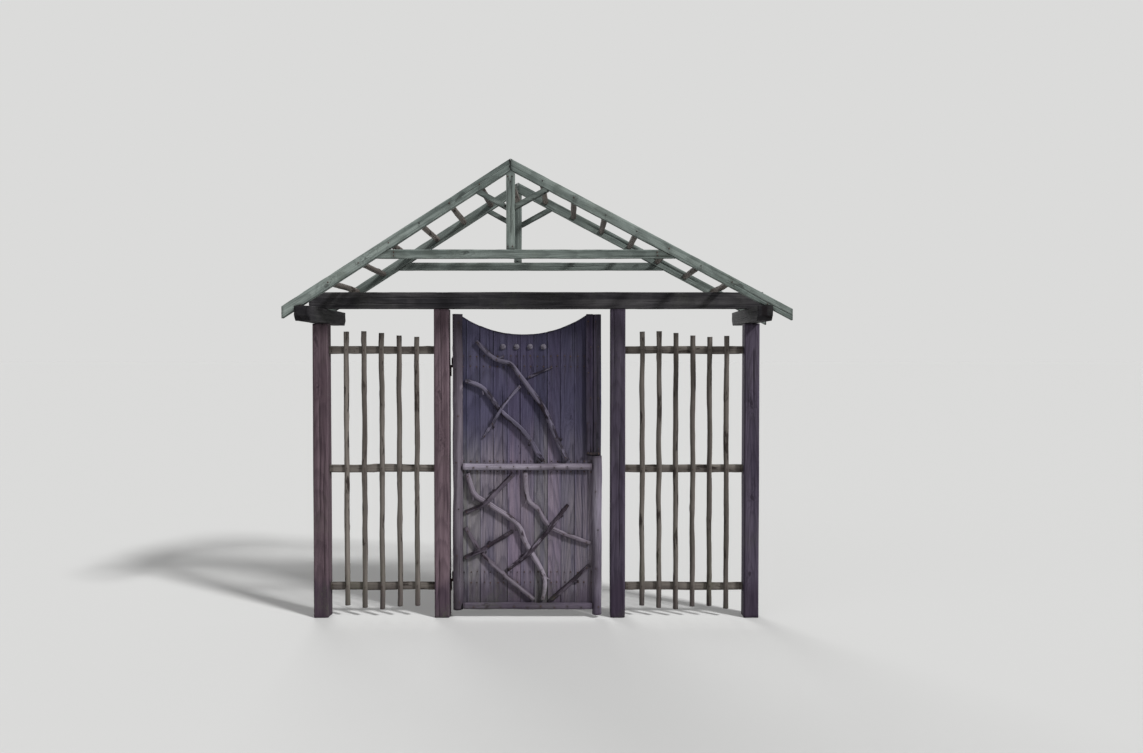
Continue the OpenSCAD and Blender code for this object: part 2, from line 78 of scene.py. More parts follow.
Z = Vector((0, 0, 1))

# A plane that lies this far off flattens no pole.
FAR = 9.0
# Place of the leaf's hinge edge along X, from which the paths of its branches are measured.
LEAF_EDGE = 71.5 * MM
# Cells a metre of the patches where bark has peeled, the same in colour and in thickness.
BARK_PATCHES = (26, 26, 6.5)

Colour = tuple[float, float, float, float]
Triple = tuple[float, float, float]
Pair = tuple[float, float]
Mesh = bpy.types.Mesh
Solid = bmesh.types.BMesh
Material = bpy.types.Material
Socket = bpy.types.NodeSocket
Outputs = bpy.types.NodeOutputs
Sources = dict[str, Socket]
Feed = float | int | str | tuple | Socket | Material


def paint(red: int, green: int, blue: int) -> Colour:
    """Turns a colour as it looks on screen into the linear colour that a shader takes.

    Args:
        red: Red from 0 to 255.
        green: Green from 0 to 255.
        blue: Blue from 0 to 255.

    Returns:
        The linear red, green, blue and alpha.
    """
    def linear(level: int) -> float:
        """Linear value of one screen level."""
        share = level / 255
        return share / 12.92 if share <= 0.04045 else ((share + 0.055) / 1.055) ** 2.4

    return (linear(red), linear(green), linear(blue), 1.0)


def soft_noise(points: np.ndarray, seed: int) -> np.ndarray:
    """Smooth random values over space, the same on each run.

    Args:
        points: One point a row, in units of the pattern's own cells.
        seed: Number that picks the pattern.

    Returns:
        A value from -1 to 1 for each point.
    """
    cell = np.floor(points).astype(np.int64)
    part = points - cell
    ease = part * part * (3 - 2 * part)
    total = np.zeros(len(points))
    for corner in itertools.product((0, 1), repeat=3):
        keys = cell + np.array(corner)
        mixed = keys[:, 0] * 73856093 ^ keys[:, 1] * 19349663 ^ keys[:, 2] * 83492791 ^ seed * 2654435761
        mixed = (mixed ^ (mixed >> 13)) * 1274126177
        level = ((mixed ^ (mixed >> 16)) & 0xFFFF) / 0xFFFF
        total += level * np.prod(np.where(corner, ease, 1 - ease), axis=1)
    return 2 * total - 1


def ramp(values: np.ndarray, low: float, high: float) -> np.ndarray:
    """Smooth step from 0 at low to 1 at high."""
    share = np.clip((values - low) / (high - low), 0, 1)
    return share * share * (3 - 2 * share)


class Body(Enum):
    """Moving and fixed bodies of the frame."""

    ARBOUR = "arbour"
    LEAF = "leaf"


@dataclass
class Wiring:
    """Adds nodes to one node tree and joins their sockets."""

    tree: bpy.types.NodeTree

    def node(
        self, kind: str, feeds: dict[int | str, Feed] | None = None, **settings: object,
    ) -> bpy.types.Node:
        """Adds a node.

        Args:
            kind: Blender's name for the node.
            feeds: Value or source socket for each input, by its name or number.
            settings: Properties of the node itself.

        Returns:
            The new node.
        """
        made = self.tree.nodes.new(kind)
        for name, setting in settings.items():
            setattr(made, name, setting)
        for key, feed in (feeds or {}).items():
            if isinstance(feed, Socket):
                self.tree.links.new(feed, made.inputs[key])
            else:
                made.inputs[key].default_value = feed
        return made

    def socket(self, name: str, kind: str, way: str = "INPUT") -> bpy.types.NodeTreeInterfaceSocket:
        """Adds a named input or output to the tree itself."""
        return self.tree.interface.new_socket(name, in_out=way, socket_type=f"NodeSocket{kind}")

    def calc(self, operation: str, *values: Feed) -> Socket:
        """Result of a Math node on the values."""
        return self.node("ShaderNodeMath", dict(enumerate(values)), operation=operation).outputs[0]

    def times(self, first: Feed, second: Feed) -> Socket:
        """Product of two values."""
        return self.calc("MULTIPLY", first, second)

    def line(self, value: Feed, slope: Feed, rise: Feed) -> Socket:
        """The value times the slope, plus the rise."""
        return self.calc("MULTIPLY_ADD", value, slope, rise)

    def vector(self, operation: str, *values: Feed) -> Socket:
        """Vector result of a Vector Math node on the values."""
        return self.node("ShaderNodeVectorMath", dict(enumerate(values)), operation=operation).outputs[0]

    def split(self, source: Socket) -> list[Socket]:
        """The X, Y and Z of a vector."""
        return list(self.node("ShaderNodeSeparateXYZ", {0: source}).outputs)

    def join(self, x: Feed, y: Feed, z: Feed) -> Socket:
        """A vector from its three parts."""
        return self.node("ShaderNodeCombineXYZ", {0: x, 1: y, 2: z}).outputs[0]

    def span(self, value: Feed, low: Feed, high: Feed, start: Feed = 0.0, end: Feed = 1.0) -> Socket:
        """Smooth change from start to end while the value goes from low to high."""
        feeds = {0: value, 1: low, 2: high, 3: start, 4: end}
        return self.node("ShaderNodeMapRange", feeds, interpolation_type="SMOOTHSTEP").outputs[0]

    def mix(self, share: Feed, first: Feed, second: Feed) -> Socket:
        """Colour between two others, the second by the given share."""
        return self.node("ShaderNodeMix", {0: share, 6: first, 7: second}, data_type="RGBA").outputs[2]

    def layers(self, colour: Feed, *over: tuple[Socket, Colour]) -> Socket:
        """Lays colours over each other.

        Args:
            colour: The lowest colour.
            over: Share and colour of each layer, from the lowest up.

        Returns:
            The mixed colour.
        """
        for share, upper in over:
            colour = self.mix(share, colour, upper)
        return colour

    def noise(self, place: Socket, stretch: Triple, detail: float = 2.0, rough: float = 0.5) -> Socket:
        """Noise from 0 to 1.

        Args:
            place: Position that the pattern follows.
            stretch: Cells a metre along each axis.
            detail: Number of finer layers.
            rough: Strength of the finer layers.

        Returns:
            The noise value.
        """
        scaled = self.vector("MULTIPLY", place, stretch)
        return self.node("ShaderNodeTexNoise", {0: scaled, 2: 1.0, 3: detail, 4: rough}).outputs[0]


ORIGIN = (0.0, 0.0, 0.0)


class Effect:
    """A surface effect that several finishes share, kept as one shader node group with named sockets.

    It takes vectors and values, each with its usual setting, and gives values.
    """

    title = ""
    takes: dict[str, float | Triple] = {}
    gives: tuple[str, ...] = ()

    def tree(self) -> bpy.types.NodeTree:
        """Builds the node group on first use.

        Returns:
            The node group.
        """
        found = bpy.data.node_groups.get(self.title)
        if found:
            return found
        tree = bpy.data.node_groups.new(self.title, "ShaderNodeTree")
        w = Wiring(tree)
        for name, usual in self.takes.items():
            w.socket(name, "Vector" if isinstance(usual, tuple) else "Float").default_value = usual
        for name in self.gives:
            w.socket(name, "Float", "OUTPUT")
        given = w.node("NodeGroupInput").outputs
        w.node("NodeGroupOutput", self.fill(w, given))
        return tree

    def fill(self, w: Wiring, given: Outputs) -> Sources:
        """Builds the inside of the group.

        Args:
            w: Wiring of the group's tree.
            given: Sockets of the group's inputs.

        Returns:
            Source of each output, by name.
        """
        raise NotImplementedError

    def place(self, w: Wiring, feeds: dict[str, Feed]) -> Outputs:
        """Outputs of the group, put into a material with a value or source for each named input."""
        return w.node("ShaderNodeGroup", feeds, node_tree=self.tree()).outputs


class OldGrain(Effect):
    """Growth rings, fibres, long streaks, small knots and end checks of weathered wood."""

    title = "Old grain"
    takes = {"Grain": ORIGIN, "Ring spacing": 4 * MM, "Wander": 12 * MM, "Knots": 0.3, "End": 0.0}
    gives = ("Rings", "Fibre", "Streak", "Knot", "Check", "Height")

    def fill(self, w: Wiring, given: Outputs) -> Sources:
        """Rings lie round the pith at the grain's own axis, knots bend them aside and checks cross them.

        Args:
            w: Wiring of the group's tree.
            given: Sockets of the group's inputs.

        Returns:
            Source of each output, by name.
        """
        grain = given["Grain"]
        across, depth, along = w.split(grain)
        slow = w.noise(grain, (8, 8, 1.4), detail=2)
        shake = w.line(w.noise(grain, (45, 45, 20), detail=2), 0.5, -0.25)
        knot_x = w.calc("ADD", w.calc("DIVIDE", across, 0.13), shake)
        knot_z = w.calc("ADD", w.calc("DIVIDE", along, 0.31), shake)
        feeds = {0: w.join(knot_x, knot_z, 0.0), 2: 1.0}
        cells = w.node("ShaderNodeTexVoronoi", feeds, voronoi_dimensions="2D")
        chosen = w.calc("LESS_THAN", w.split(cells.outputs["Color"])[0], given["Knots"])
        near = w.times(w.span(cells.outputs["Distance"], 0.34, 0.0), chosen)
        knot = w.times(w.span(cells.outputs["Distance"], 0.085, 0.05), chosen)
        tilted = w.calc("ADD", depth, w.times(along, 0.021))
        squares = w.calc("ADD", w.calc("POWER", across, 2.0), w.calc("POWER", tilted, 2.0))
        around = w.calc("SQRT", squares)
        bent = w.line(w.calc("SUBTRACT", slow, 0.5), given["Wander"], around)
        bent = w.line(near, 0.008, bent)
        fine = w.noise(grain, (620, 620, 13), detail=3, rough=0.6)
        coarse = w.noise(grain, (170, 170, 4.5), detail=2)
        fibre = w.line(fine, 0.6, w.times(coarse, 0.4))
        torn = w.line(fibre, 0.9, w.calc("DIVIDE", bent, given["Ring spacing"]))
        turn = w.calc("FRACT", torn)
        late = w.times(w.span(turn, 0.45, 0.92), w.span(turn, 1.0, 0.94))
        streak = w.noise(grain, (34, 34, 1.1), detail=3, rough=0.55)
        split = w.span(w.noise(grain, (120, 120, 2.2), detail=1), 0.31, 0.25)
        out_x, out_y = w.calc("DIVIDE", across, around), w.calc("DIVIDE", tilted, around)
        spoke = w.noise(w.join(out_x, out_y, along), (2.1, 2.1, 3.0), detail=2)
        line = w.span(w.calc("ABSOLUTE", w.calc("SUBTRACT", spoke, 0.5)), 0.02, 0.004)
        check = w.times(line, w.span(given["End"], 0.4, 0.9))
        height = w.line(late, 0.35, w.times(fibre, 0.5))
        height = w.line(split, -0.6, height)
        height = w.line(knot, 0.35, height)
        height = w.line(check, -0.9, height)
        return {
            "Rings": late,
            "Fibre": w.line(split, -0.55, fibre),
            "Streak": streak,
            "Knot": knot,
            "Check": check,
            "Height": height,
        }


class WearAndShadeMarks(Effect):
    """Breaks up the worn arrises, and passes on the dark hollows and the tint that the meshes carry; the tint
    holds the wood's tone and painted shade.
    """

    title = "Worn marks"
    takes = {"Tone": (0.0, 0.0, 0.5), "Grain": ORIGIN, "Wear": 1.0}
    gives = ("Worn", "Hollow", "Tint")

    def fill(self, w: Wiring, given: Outputs) -> Sources:
        """Wear is patchy and follows the grain, hollows stay whole.

        Args:
            w: Wiring of the group's tree.
            given: Sockets of the group's inputs.

        Returns:
            Source of each output, by name.
        """
        worn, hollow, tint = w.split(given["Tone"])
        patch = w.noise(given["Grain"], (90, 90, 14), detail=3, rough=0.6)
        worn = w.times(worn, w.span(patch, 0.38, 0.62))
        return {"Worn": w.times(worn, given["Wear"]), "Hollow": hollow, "Tint": tint}


class GroundDamp(Effect):
    """Damp that rises from the ground and algae that grows in patches."""

    title = "Ground damp"
    takes = {"Place": ORIGIN, "Damp height": 0.25, "Algae height": 0.8, "Algae": 0.5}
    gives = ("Damp", "Algae")

    def fill(self, w: Wiring, given: Outputs) -> Sources:
        """Both fade upwards with a ragged upper edge.

        Args:
            w: Wiring of the group's tree.
            given: Sockets of the group's inputs.

        Returns:
            Source of each output, by name.
        """
        place = given["Place"]
        height = w.split(place)[2]
        ragged = w.noise(place, (9, 9, 2.5), detail=3, rough=0.6)
        edge = w.times(given["Damp height"], w.line(ragged, 1.6, 0.2))
        damp = w.span(w.calc("SUBTRACT", height, edge), 0.09, -0.06)
        patches = w.noise(place, (5, 5, 3.5), detail=4, rough=0.6)
        specks = w.noise(place, (120, 120, 90), detail=2)
        low = w.span(height, given["Algae height"], 0.0)
        grown = w.times(w.span(patches, 0.46, 0.68), w.span(specks, 0.3, 0.62))
        reach = w.times(given["Algae"], w.line(low, 0.75, 0.25))
        return {"Damp": damp, "Algae": w.times(grown, reach)}


class WeatherBlotches(Effect):
    """Runs of rust under nails, grey mould specks and pale sun-bleached patches."""

    title = "Weather blotches"
    takes = {"Place": ORIGIN, "Stain": 0.0, "Mould": 0.5}
    gives = ("Rust run", "Mould", "Bleached")

    def fill(self, w: Wiring, given: Outputs) -> Sources:
        """Runs break up downwards, and the mould is fine specks in loose clouds.

        Args:
            w: Wiring of the group's tree.
            given: Sockets of the group's inputs.

        Returns:
            Source of each output, by name.
        """
        place = given["Place"]
        broken = w.span(w.noise(place, (260, 260, 30), detail=3, rough=0.6), 0.25, 0.7)
        run = w.times(given["Stain"], broken)
        cloud = w.span(w.noise(place, (7, 7, 3), detail=3, rough=0.6), 0.42, 0.66)
        specks = w.span(w.noise(place, (330, 330, 210), detail=2, rough=0.7), 0.53, 0.66)
        mould = w.times(w.times(cloud, specks), given["Mould"])
        bleached = w.span(w.noise(place, (11, 11, 1.3), detail=4, rough=0.6), 0.5, 0.72)
        return {"Rust run": run, "Mould": mould, "Bleached": bleached}


class BarkPlates(Effect):
    """Bark in plates and furrows, peeled away in patches."""

    title = "Bark plates"
    takes = {"Grain": ORIGIN, "Peeled": 0.6}
    gives = ("Plate", "Furrow", "Bare", "Height")

    def fill(self, w: Wiring, given: Outputs) -> Sources:
        """Furrows are the borders of long cells, and bare wood shows where a slow noise says.

        Args:
            w: Wiring of the group's tree.
            given: Sockets of the group's inputs.

        Returns:
            Source of each output, by name.
        """
        grain = given["Grain"]
        shake = w.noise(grain, (60, 60, 25), detail=2)
        moved = w.vector("MULTIPLY", grain, (150, 150, 34))
        moved = w.vector("ADD", moved, w.join(shake, shake, shake))
        cells = w.node("ShaderNodeTexVoronoi", {0: moved, 2: 1.0}, feature="DISTANCE_TO_EDGE")
        plate = w.span(cells.outputs["Distance"], 0.02, 0.2)
        grit = w.noise(grain, (420, 420, 120), detail=3, rough=0.65)
        patch = w.noise(grain, BARK_PATCHES, detail=3, rough=0.55)
        level = w.calc("SUBTRACT", 1.0, given["Peeled"])
        low = w.line(level, 0.5, 0.22)
        bare = w.span(w.line(grit, 0.12, patch), low, w.calc("ADD", low, 0.06))
        bark = w.line(plate, 0.55, w.times(grit, 0.3))
        height = w.times(w.calc("ADD", bark, 0.35), w.calc("SUBTRACT", 1.0, bare))
        return {"Plate": grit, "Furrow": w.calc("SUBTRACT", 1.0, plate), "Bare": bare, "Height": height}


class IronRust(Effect):
    """Rust blooms, pits and hammer marks of old iron."""

    title = "Iron rust"
    takes = {"Place": ORIGIN, "Spread": 0.5}
    gives = ("Bloom", "Pits", "Height")

    def fill(self, w: Wiring, given: Outputs) -> Sources:
        """Blooms are patches of fine grit, and hammer marks are shallow cells.

        Args:
            w: Wiring of the group's tree.
            given: Sockets of the group's inputs.

        Returns:
            Source of each output, by name.
        """
        place = given["Place"]
        patch = w.noise(place, (55, 55, 55), detail=4, rough=0.65)
        edge = w.calc("SUBTRACT", 0.75, w.times(given["Spread"], 0.5))
        bloom = w.span(patch, w.calc("SUBTRACT", edge, 0.08), w.calc("ADD", edge, 0.05))
        grit = w.noise(place, (900, 900, 900), detail=2)
        cells = w.node("ShaderNodeTexVoronoi", {0: place, 2: 110.0}, feature="SMOOTH_F1")
        hammered = w.times(cells.outputs["Distance"], 0.5)
        scale = w.line(bloom, 0.35, 0.08)
        height = w.line(grit, scale, hammered)
        return {"Bloom": bloom, "Pits": grit, "Height": height}


@dataclass
class Shading:
    """A new material with its shader and the coordinates that finishes read."""

    title: str
    specular: float = 0.12

    def __post_init__(self) -> None:
        """Makes the material and clears its tree down to one shader."""
        self.material = bpy.data.materials.new(self.title)
        self.material.use_nodes = True
        self.material.node_tree.nodes.clear()
        self.wiring = Wiring(self.material.node_tree)
        self.shader = self.wiring.node("ShaderNodeBsdfPrincipled", {"Specular IOR Level": self.specular})
        self.wiring.node("ShaderNodeOutputMaterial", {0: self.shader.outputs[0]})

    def attribute(self, name: str) -> Socket:
        """Vector of a mesh attribute."""
        return self.wiring.node("ShaderNodeAttribute", attribute_name=name).outputs["Vector"]

    def place(self) -> Socket:
        """Position on the object."""
        return self.wiring.node("ShaderNodeTexCoord").outputs["Object"]

    def finish(self, sources: Sources, height: Socket, depth: float) -> Material:
        """Feeds the shader.

        Args:
            sources: Source of each of the shader's inputs that changes over the surface.
            height: Relief from 0 to 1.
            depth: Height of the relief.

        Returns:
            The finished material.
        """
        feeds = {"Height": height, "Distance": depth, "Strength": 1.0}
        relief = self.wiring.node("ShaderNodeBump", feeds).outputs[0]
        for name, source in {**sources, "Normal": relief}.items():
            self.wiring.tree.links.new(source, self.shader.inputs[name])
        return self.material


@dataclass(frozen=True)
class Soiling:
    """Colours of what years outside leave on wood and in its cracks."""

    damp: Colour
    algae: Colour
    mould: Colour
    rust: Colour
    crack: Colour


ON_WOOD = Soiling(
    damp=paint(48, 38, 52), algae=paint(80, 86, 68), mould=paint(34, 32, 34), rust=paint(38, 30, 31),
    crack=paint(20, 16, 18),
)
ON_BARK = Soiling(
    damp=paint(50, 42, 48), algae=paint(80, 86, 66), mould=paint(40, 36, 38), rust=paint(44, 32, 30),
    crack=paint(28, 22, 24),
)


@dataclass(frozen=True)
class WeatheredWood:
    """Bare wood greyed by years outside."""

    title: str
    dark: Colour
    face: Colour
    crest: Colour
    ring_spacing: float = 4 * MM
    knots: float = 0.2
    damp_height: float = 0.22
    algae: float = 0.4
    algae_height: float = 0.8
    relief: float = 0.9 * MM
    wear: float = 0.6
    mould: float = 0.5
    soak: float = 0.6
    damp: float = 0.6
    streaks: float = 1.0
    kin: Colour | None = None
    # Colours below a ragged line; where they are lighter, the darker face above is painted shade as well as
    # weathering.
    low_face: Colour | None = None
    low_kin: Colour | None = None
    low_top: float = 1.0
    low_fade: float = 0.36
    behind: Colour | None = None
    back_starts: float = -17 * MM
    back_ends: float = -9 * MM

    def body(self, w: Wiring, place: Socket, hue: Socket) -> Feed:
        """Main colour, which may differ from board to board and on the back, and changes at a ragged line
        towards the ground; where the lower colours are lighter, the darker upper ones hold painted shade as
        well as weathering.

        Args:
            w: Wiring of the finish.
            place: Position on the object.
            hue: Hue of the board, from 0 to 1.

        Returns:
            The colour or its source.
        """
        upper = w.mix(hue, self.face, self.kin) if self.kin else self.face
        if not self.low_face:
            return upper
        lower = w.mix(hue, self.low_face, self.low_kin) if self.low_kin else self.low_face
        sway = w.line(w.noise(place, (4, 4, 0.8), detail=3), 0.7, -0.35)
        _, depth, height = w.split(place)
        level = w.calc("ADD", height, sway)
        # Painted shade: above this line the darker upper colours stand for the shade over the top of the
        # leaf.
        fade = w.span(level, self.low_top + self.low_fade, self.low_top - self.low_fade)
        front = w.mix(fade, upper, lower)
        if not self.behind:
            return front
        return w.mix(w.span(depth, self.back_starts, self.back_ends, 0.0, 0.65), front, self.behind)

    def build(self) -> Material:
        """Wires the finish.

        Returns:
            Its material.
        """
        shading = Shading(self.title)
        w = shading.wiring
        grain, tone, place = shading.attribute("grain"), shading.attribute("tone"), shading.place()
        stain, hue, end = w.split(shading.attribute("marks"))
        feeds = {"Grain": grain, "Ring spacing": self.ring_spacing, "Knots": self.knots, "End": end}
        old = OldGrain().place(w, feeds)
        marks = WearAndShadeMarks().place(w, {"Tone": tone, "Grain": grain, "Wear": self.wear})
        feeds = {"Damp height": self.damp_height, "Algae height": self.algae_height, "Algae": self.algae}
        damp = GroundDamp().place(w, {"Place": place, **feeds})
        blotches = WeatherBlotches().place(w, {"Place": place, "Stain": stain, "Mould": self.mould})
        open_wood = w.calc("MAXIMUM", marks["Hollow"], w.times(old["Check"], 0.9))
        colour = w.layers(
            self.body(w, place, hue),
            (w.span(old["Streak"], 0.36, 0.68, 0.0, self.streaks), self.crest),
            (w.times(blotches["Bleached"], 0.45), self.crest),
            # The tint darkens the wood: its own tone, with painted shade where a shade carries it.
            (w.times(marks["Tint"], 0.6), self.dark),
            (w.span(old["Fibre"], 0.62, 0.2, 0.0, 0.75), self.dark),
            (w.times(old["Rings"], 0.3), self.dark),
            (w.times(old["Knot"], 0.6), self.dark),
            (marks["Worn"], self.crest),
            (w.span(w.line(old["Fibre"], 0.4, end), 0.4, 1.1, 0.0, self.soak), self.dark),
            (w.times(damp["Damp"], self.damp), ON_WOOD.damp),
            (damp["Algae"], ON_WOOD.algae),
            (blotches["Mould"], ON_WOOD.mould),
            (w.times(blotches["Rust run"], 0.8), ON_WOOD.rust),
            (w.span(open_wood, 0.15, 0.85, 0.0, 0.92), ON_WOOD.crack),
        )
        roughness = w.span(old["Fibre"], 0.2, 0.8, 0.92, 0.78)
        return shading.finish({"Base Color": colour, "Roughness": roughness}, old["Height"], self.relief)


@dataclass(frozen=True)
class BarkedWood:
    """Branch wood with the rest of its bark."""

    title: str
    dark: Colour
    bark: Colour
    bare: Colour
    crest: Colour
    peeled: float = 0.65
    relief: float = 1.6 * MM
    damp_height: float = 0.15
    tinting: float = 0.3

    def build(self) -> Material:
        """Wires the finish.

        Returns:
            Its material.
        """
        shading = Shading(self.title)
        w = shading.wiring
        grain, tone, place = shading.attribute("grain"), shading.attribute("tone"), shading.place()
        plates = BarkPlates().place(w, {"Grain": grain, "Peeled": self.peeled})
        stain, _, end = w.split(shading.attribute("marks"))
        old = OldGrain().place(w, {"Grain": grain, "Ring spacing": 2 * MM, "Knots": 0.15, "End": end})
        marks = WearAndShadeMarks().place(w, {"Tone": tone, "Grain": grain, "Wear": 1.0})
        damp = GroundDamp().place(w, {"Place": place, "Damp height": self.damp_height, "Algae": 0.35})
        blotches = WeatherBlotches().place(w, {"Place": place, "Stain": stain, "Mould": 0.5})
        wood = w.layers(
            self.bare,
            (w.span(old["Streak"], 0.34, 0.66), self.crest),
            (w.span(old["Fibre"], 0.6, 0.22, 0.0, 0.8), self.dark),
            (blotches["Mould"], ON_BARK.mould),
        )
        bark = w.mix(w.span(plates["Plate"], 0.3, 0.7), self.dark, self.bark)
        bark = w.mix(w.times(plates["Furrow"], 0.7), bark, self.dark)
        ringed = w.mix(w.times(old["Rings"], 0.45), wood, self.dark)
        sawn = w.span(end, 0.86, 0.95)
        bare = w.calc("MAXIMUM", plates["Bare"], sawn)
        open_wood = w.calc("MAXIMUM", marks["Hollow"], old["Check"])
        colour = w.layers(
            w.mix(sawn, w.mix(plates["Bare"], bark, wood), ringed),
            (w.times(marks["Worn"], 0.5), self.crest),
            # The tint darkens the branch: its own tone together with painted shade.
            (w.times(marks["Tint"], self.tinting), self.dark),
            (w.span(end, 0.2, 1.0, 0.0, 0.4), self.dark),
            (w.times(damp["Damp"], 0.4), ON_BARK.damp),
            (damp["Algae"], ON_BARK.algae),
            (w.times(blotches["Rust run"], 0.7), ON_BARK.rust),
            (w.span(open_wood, 0.15, 0.85, 0.0, 0.8), ON_BARK.crack),
        )
        roughness = w.span(bare, 0.0, 1.0, 0.95, 0.82)
        height = w.line(old["Height"], 0.35, plates["Height"])
        return shading.finish({"Base Color": colour, "Roughness": roughness}, height, self.relief)


@dataclass(frozen=True)
class RustyIron:
    """Blackened iron under rust."""

    title: str
    iron: Colour
    rust: Colour
    bright_rust: Colour
    spread: float = 0.55
    relief: float = 0.5 * MM

    def build(self) -> Material:
        """Wires the finish.

        Returns:
            Its material.
        """
        shading = Shading(self.title, specular=0.4)
        w = shading.wiring
        rust = IronRust().place(w, {"Place": shading.place(), "Spread": self.spread})
        bloom = w.mix(w.span(rust["Pits"], 0.35, 0.65), self.rust, self.bright_rust)
        colour = w.mix(rust["Bloom"], self.iron, bloom)
        metal = w.span(rust["Bloom"], 0.0, 1.0, 0.55, 0.0)
        roughness = w.span(rust["Bloom"], 0.0, 1.0, 0.52, 0.93)
        sources = {"Base Color": colour, "Metallic": metal, "Roughness": roughness}
        return shading.finish(sources, rust["Height"], self.relief)


Finish = WeatheredWood | BarkedWood | RustyIron


class Finishes:
    """Builds each finish once and hands out its material."""

    def __init__(self) -> None:
        """Sets up the finishes of the gate."""
        self.made: dict[str, Material] = {}
        # The upper face and kin are darker than the lower ones: weathering, with painted shade of the roof
        # over the top of the leaf.
        self.boards = WeatheredWood(
            "Leaf boards", dark=paint(38, 36, 51), face=paint(66, 65, 87), kin=paint(72, 65, 89),
            crest=paint(92, 89, 112), low_face=paint(127, 125, 124), low_kin=paint(147, 132, 149),
            low_top=1.05, low_fade=0.27, algae=0.42, damp_height=0.19, damp=0.58, streaks=0.45,
            behind=paint(77, 75, 77),
        )
        self.ledges = WeatheredWood(
            "Back ledges", dark=paint(46, 41, 48), face=paint(86, 80, 86), crest=paint(112, 107, 112),
            algae=0.4,
        )
        self.gate_post = WeatheredWood(
            "Gate posts", dark=paint(44, 35, 41), face=paint(89, 73, 80), crest=paint(121, 103, 111),
            algae=0.4, knots=0.25,
        )
        # Painted shade: the right-hand posts take this darker copy of the post wood because they stood in
        # shade.
        self.shaded_post = WeatheredWood(
            "Shaded posts", dark=paint(30, 24, 32), face=paint(60, 54, 68), crest=paint(86, 78, 93),
            algae=0.35, knots=0.25,
        )
        # Painted shade: the header and arms are near black for the deep shade they stood in.
        self.beams = WeatheredWood(
            "Header and arms", dark=paint(22, 21, 24), face=paint(43, 42, 45), crest=paint(72, 70, 72),
            algae=0.4, algae_height=2.6,
        )
        self.rafters = WeatheredWood(
            "Roof timbers", dark=paint(54, 58, 56), face=paint(101, 111, 107), crest=paint(146, 156, 151),
            algae=0.4, algae_height=3.4,
        )
        # Dark from unweathered wood and from painted shade at the leaf's top right.
        self.laths = WeatheredWood(
            "Latch laths", dark=paint(23, 21, 28), face=paint(45, 38, 57), kin=paint(43, 41, 49),
            crest=paint(66, 60, 75), algae=0.2,
        )
        self.log = WeatheredWood(
            "Latch log", dark=paint(56, 48, 58), face=paint(123, 116, 131), crest=paint(152, 146, 160),
            ring_spacing=3 * MM, algae=0.35, damp_height=0.12,
        )
        self.stile = WeatheredWood(
            "Hinge stile", dark=paint(46, 40, 48), face=paint(101, 93, 103), crest=paint(136, 128, 139),
            ring_spacing=3 * MM, algae=0.4, damp_height=0.12,
        )
        self.mid_rail = WeatheredWood(
            "Mid rail", dark=paint(60, 49, 58), face=paint(152, 145, 160), crest=paint(182, 175, 189),
            ring_spacing=3 * MM, algae=0.15, damp_height=0.05,
        )
        self.foot_rail = WeatheredWood(
            "Foot rail", dark=paint(42, 35, 44), face=paint(98, 90, 104), crest=paint(128, 119, 134),
            ring_spacing=3 * MM, algae=0.3, damp_height=0.05,
        )
        self.branch = BarkedWood(
            "Branch wood", dark=paint(48, 41, 48), bark=paint(80, 69, 76), bare=paint(118, 109, 121),
            crest=paint(164, 155, 169), peeled=0.6, tinting=0.6,
        )
        # Painted shade: a darker copy of the branch wood for the branches in the shade over the top of the
        # leaf.
        self.shaded_branch = BarkedWood(
            "Shaded branch wood", dark=paint(35, 31, 39), bark=paint(56, 50, 60), bare=paint(86, 82, 98),
            crest=paint(126, 120, 140), peeled=0.5, tinting=0.6, relief=2 * MM,
        )
        self.barked_branch = BarkedWood(
            "Barked branch wood", dark=paint(39, 32, 40), bark=paint(76, 67, 77), bare=paint(97, 89, 102),
            crest=paint(122, 113, 127), peeled=0.3, tinting=0.7, relief=2.2 * MM,
        )
        self.pole = BarkedWood(
            "Trellis poles", dark=paint(48, 43, 41), bark=paint(70, 63, 59), bare=paint(92, 86, 82),
            crest=paint(122, 116, 110), peeled=0.62,
        )
        self.peg = WeatheredWood(
            "Peg wood", dark=paint(58, 53, 62), face=paint(102, 98, 110), crest=paint(130, 126, 138),
            ring_spacing=2.2 * MM, knots=0.0, algae=0.0, relief=0.5 * MM, mould=0.3,
        )
        self.iron = RustyIron(
            "Old iron", iron=paint(42, 39, 40), rust=paint(56, 44, 40), bright_rust=paint(78, 57, 47),
        )
        self.latch_iron = RustyIron(
            "Latch iron", iron=paint(27, 24, 31), rust=paint(38, 31, 36), bright_rust=paint(56, 43, 42),
            spread=0.45,
        )

    def material(self, finish: Finish) -> Material:
        """Builds a finish's material on first use.

        Args:
            finish: The finish.

        Returns:
            Its material.
        """
        if finish.title not in self.made:
            self.made[finish.title] = finish.build()
        return self.made[finish.title]


def set_attribute(mesh: Mesh, name: str, values: np.ndarray) -> None:
    """Stores a vector for each vertex.

    Args:
        mesh: Mesh that gets the attribute.
        name: Name of the attribute.
        values: One vector a row.
    """
    layer = mesh.attributes.get(name) or mesh.attributes.new(name, "FLOAT_VECTOR", "POINT")
    layer.data.foreach_set("vector", np.ascontiguousarray(values, dtype=np.float32).ravel())


def stored_vectors(mesh: Mesh, name: str) -> np.ndarray:
    """Vectors that a mesh stores for its vertices.

    Args:
        mesh: Mesh that may have the attribute.
        name: Name of the attribute.

    Returns:
        One vector a row, all zeros where the mesh has no such attribute.
    """
    values = np.zeros(len(mesh.vertices) * 3, dtype=np.float32)
    if name in mesh.attributes:
        mesh.attributes[name].data.foreach_get("vector", values)
    return values.reshape(-1, 3)


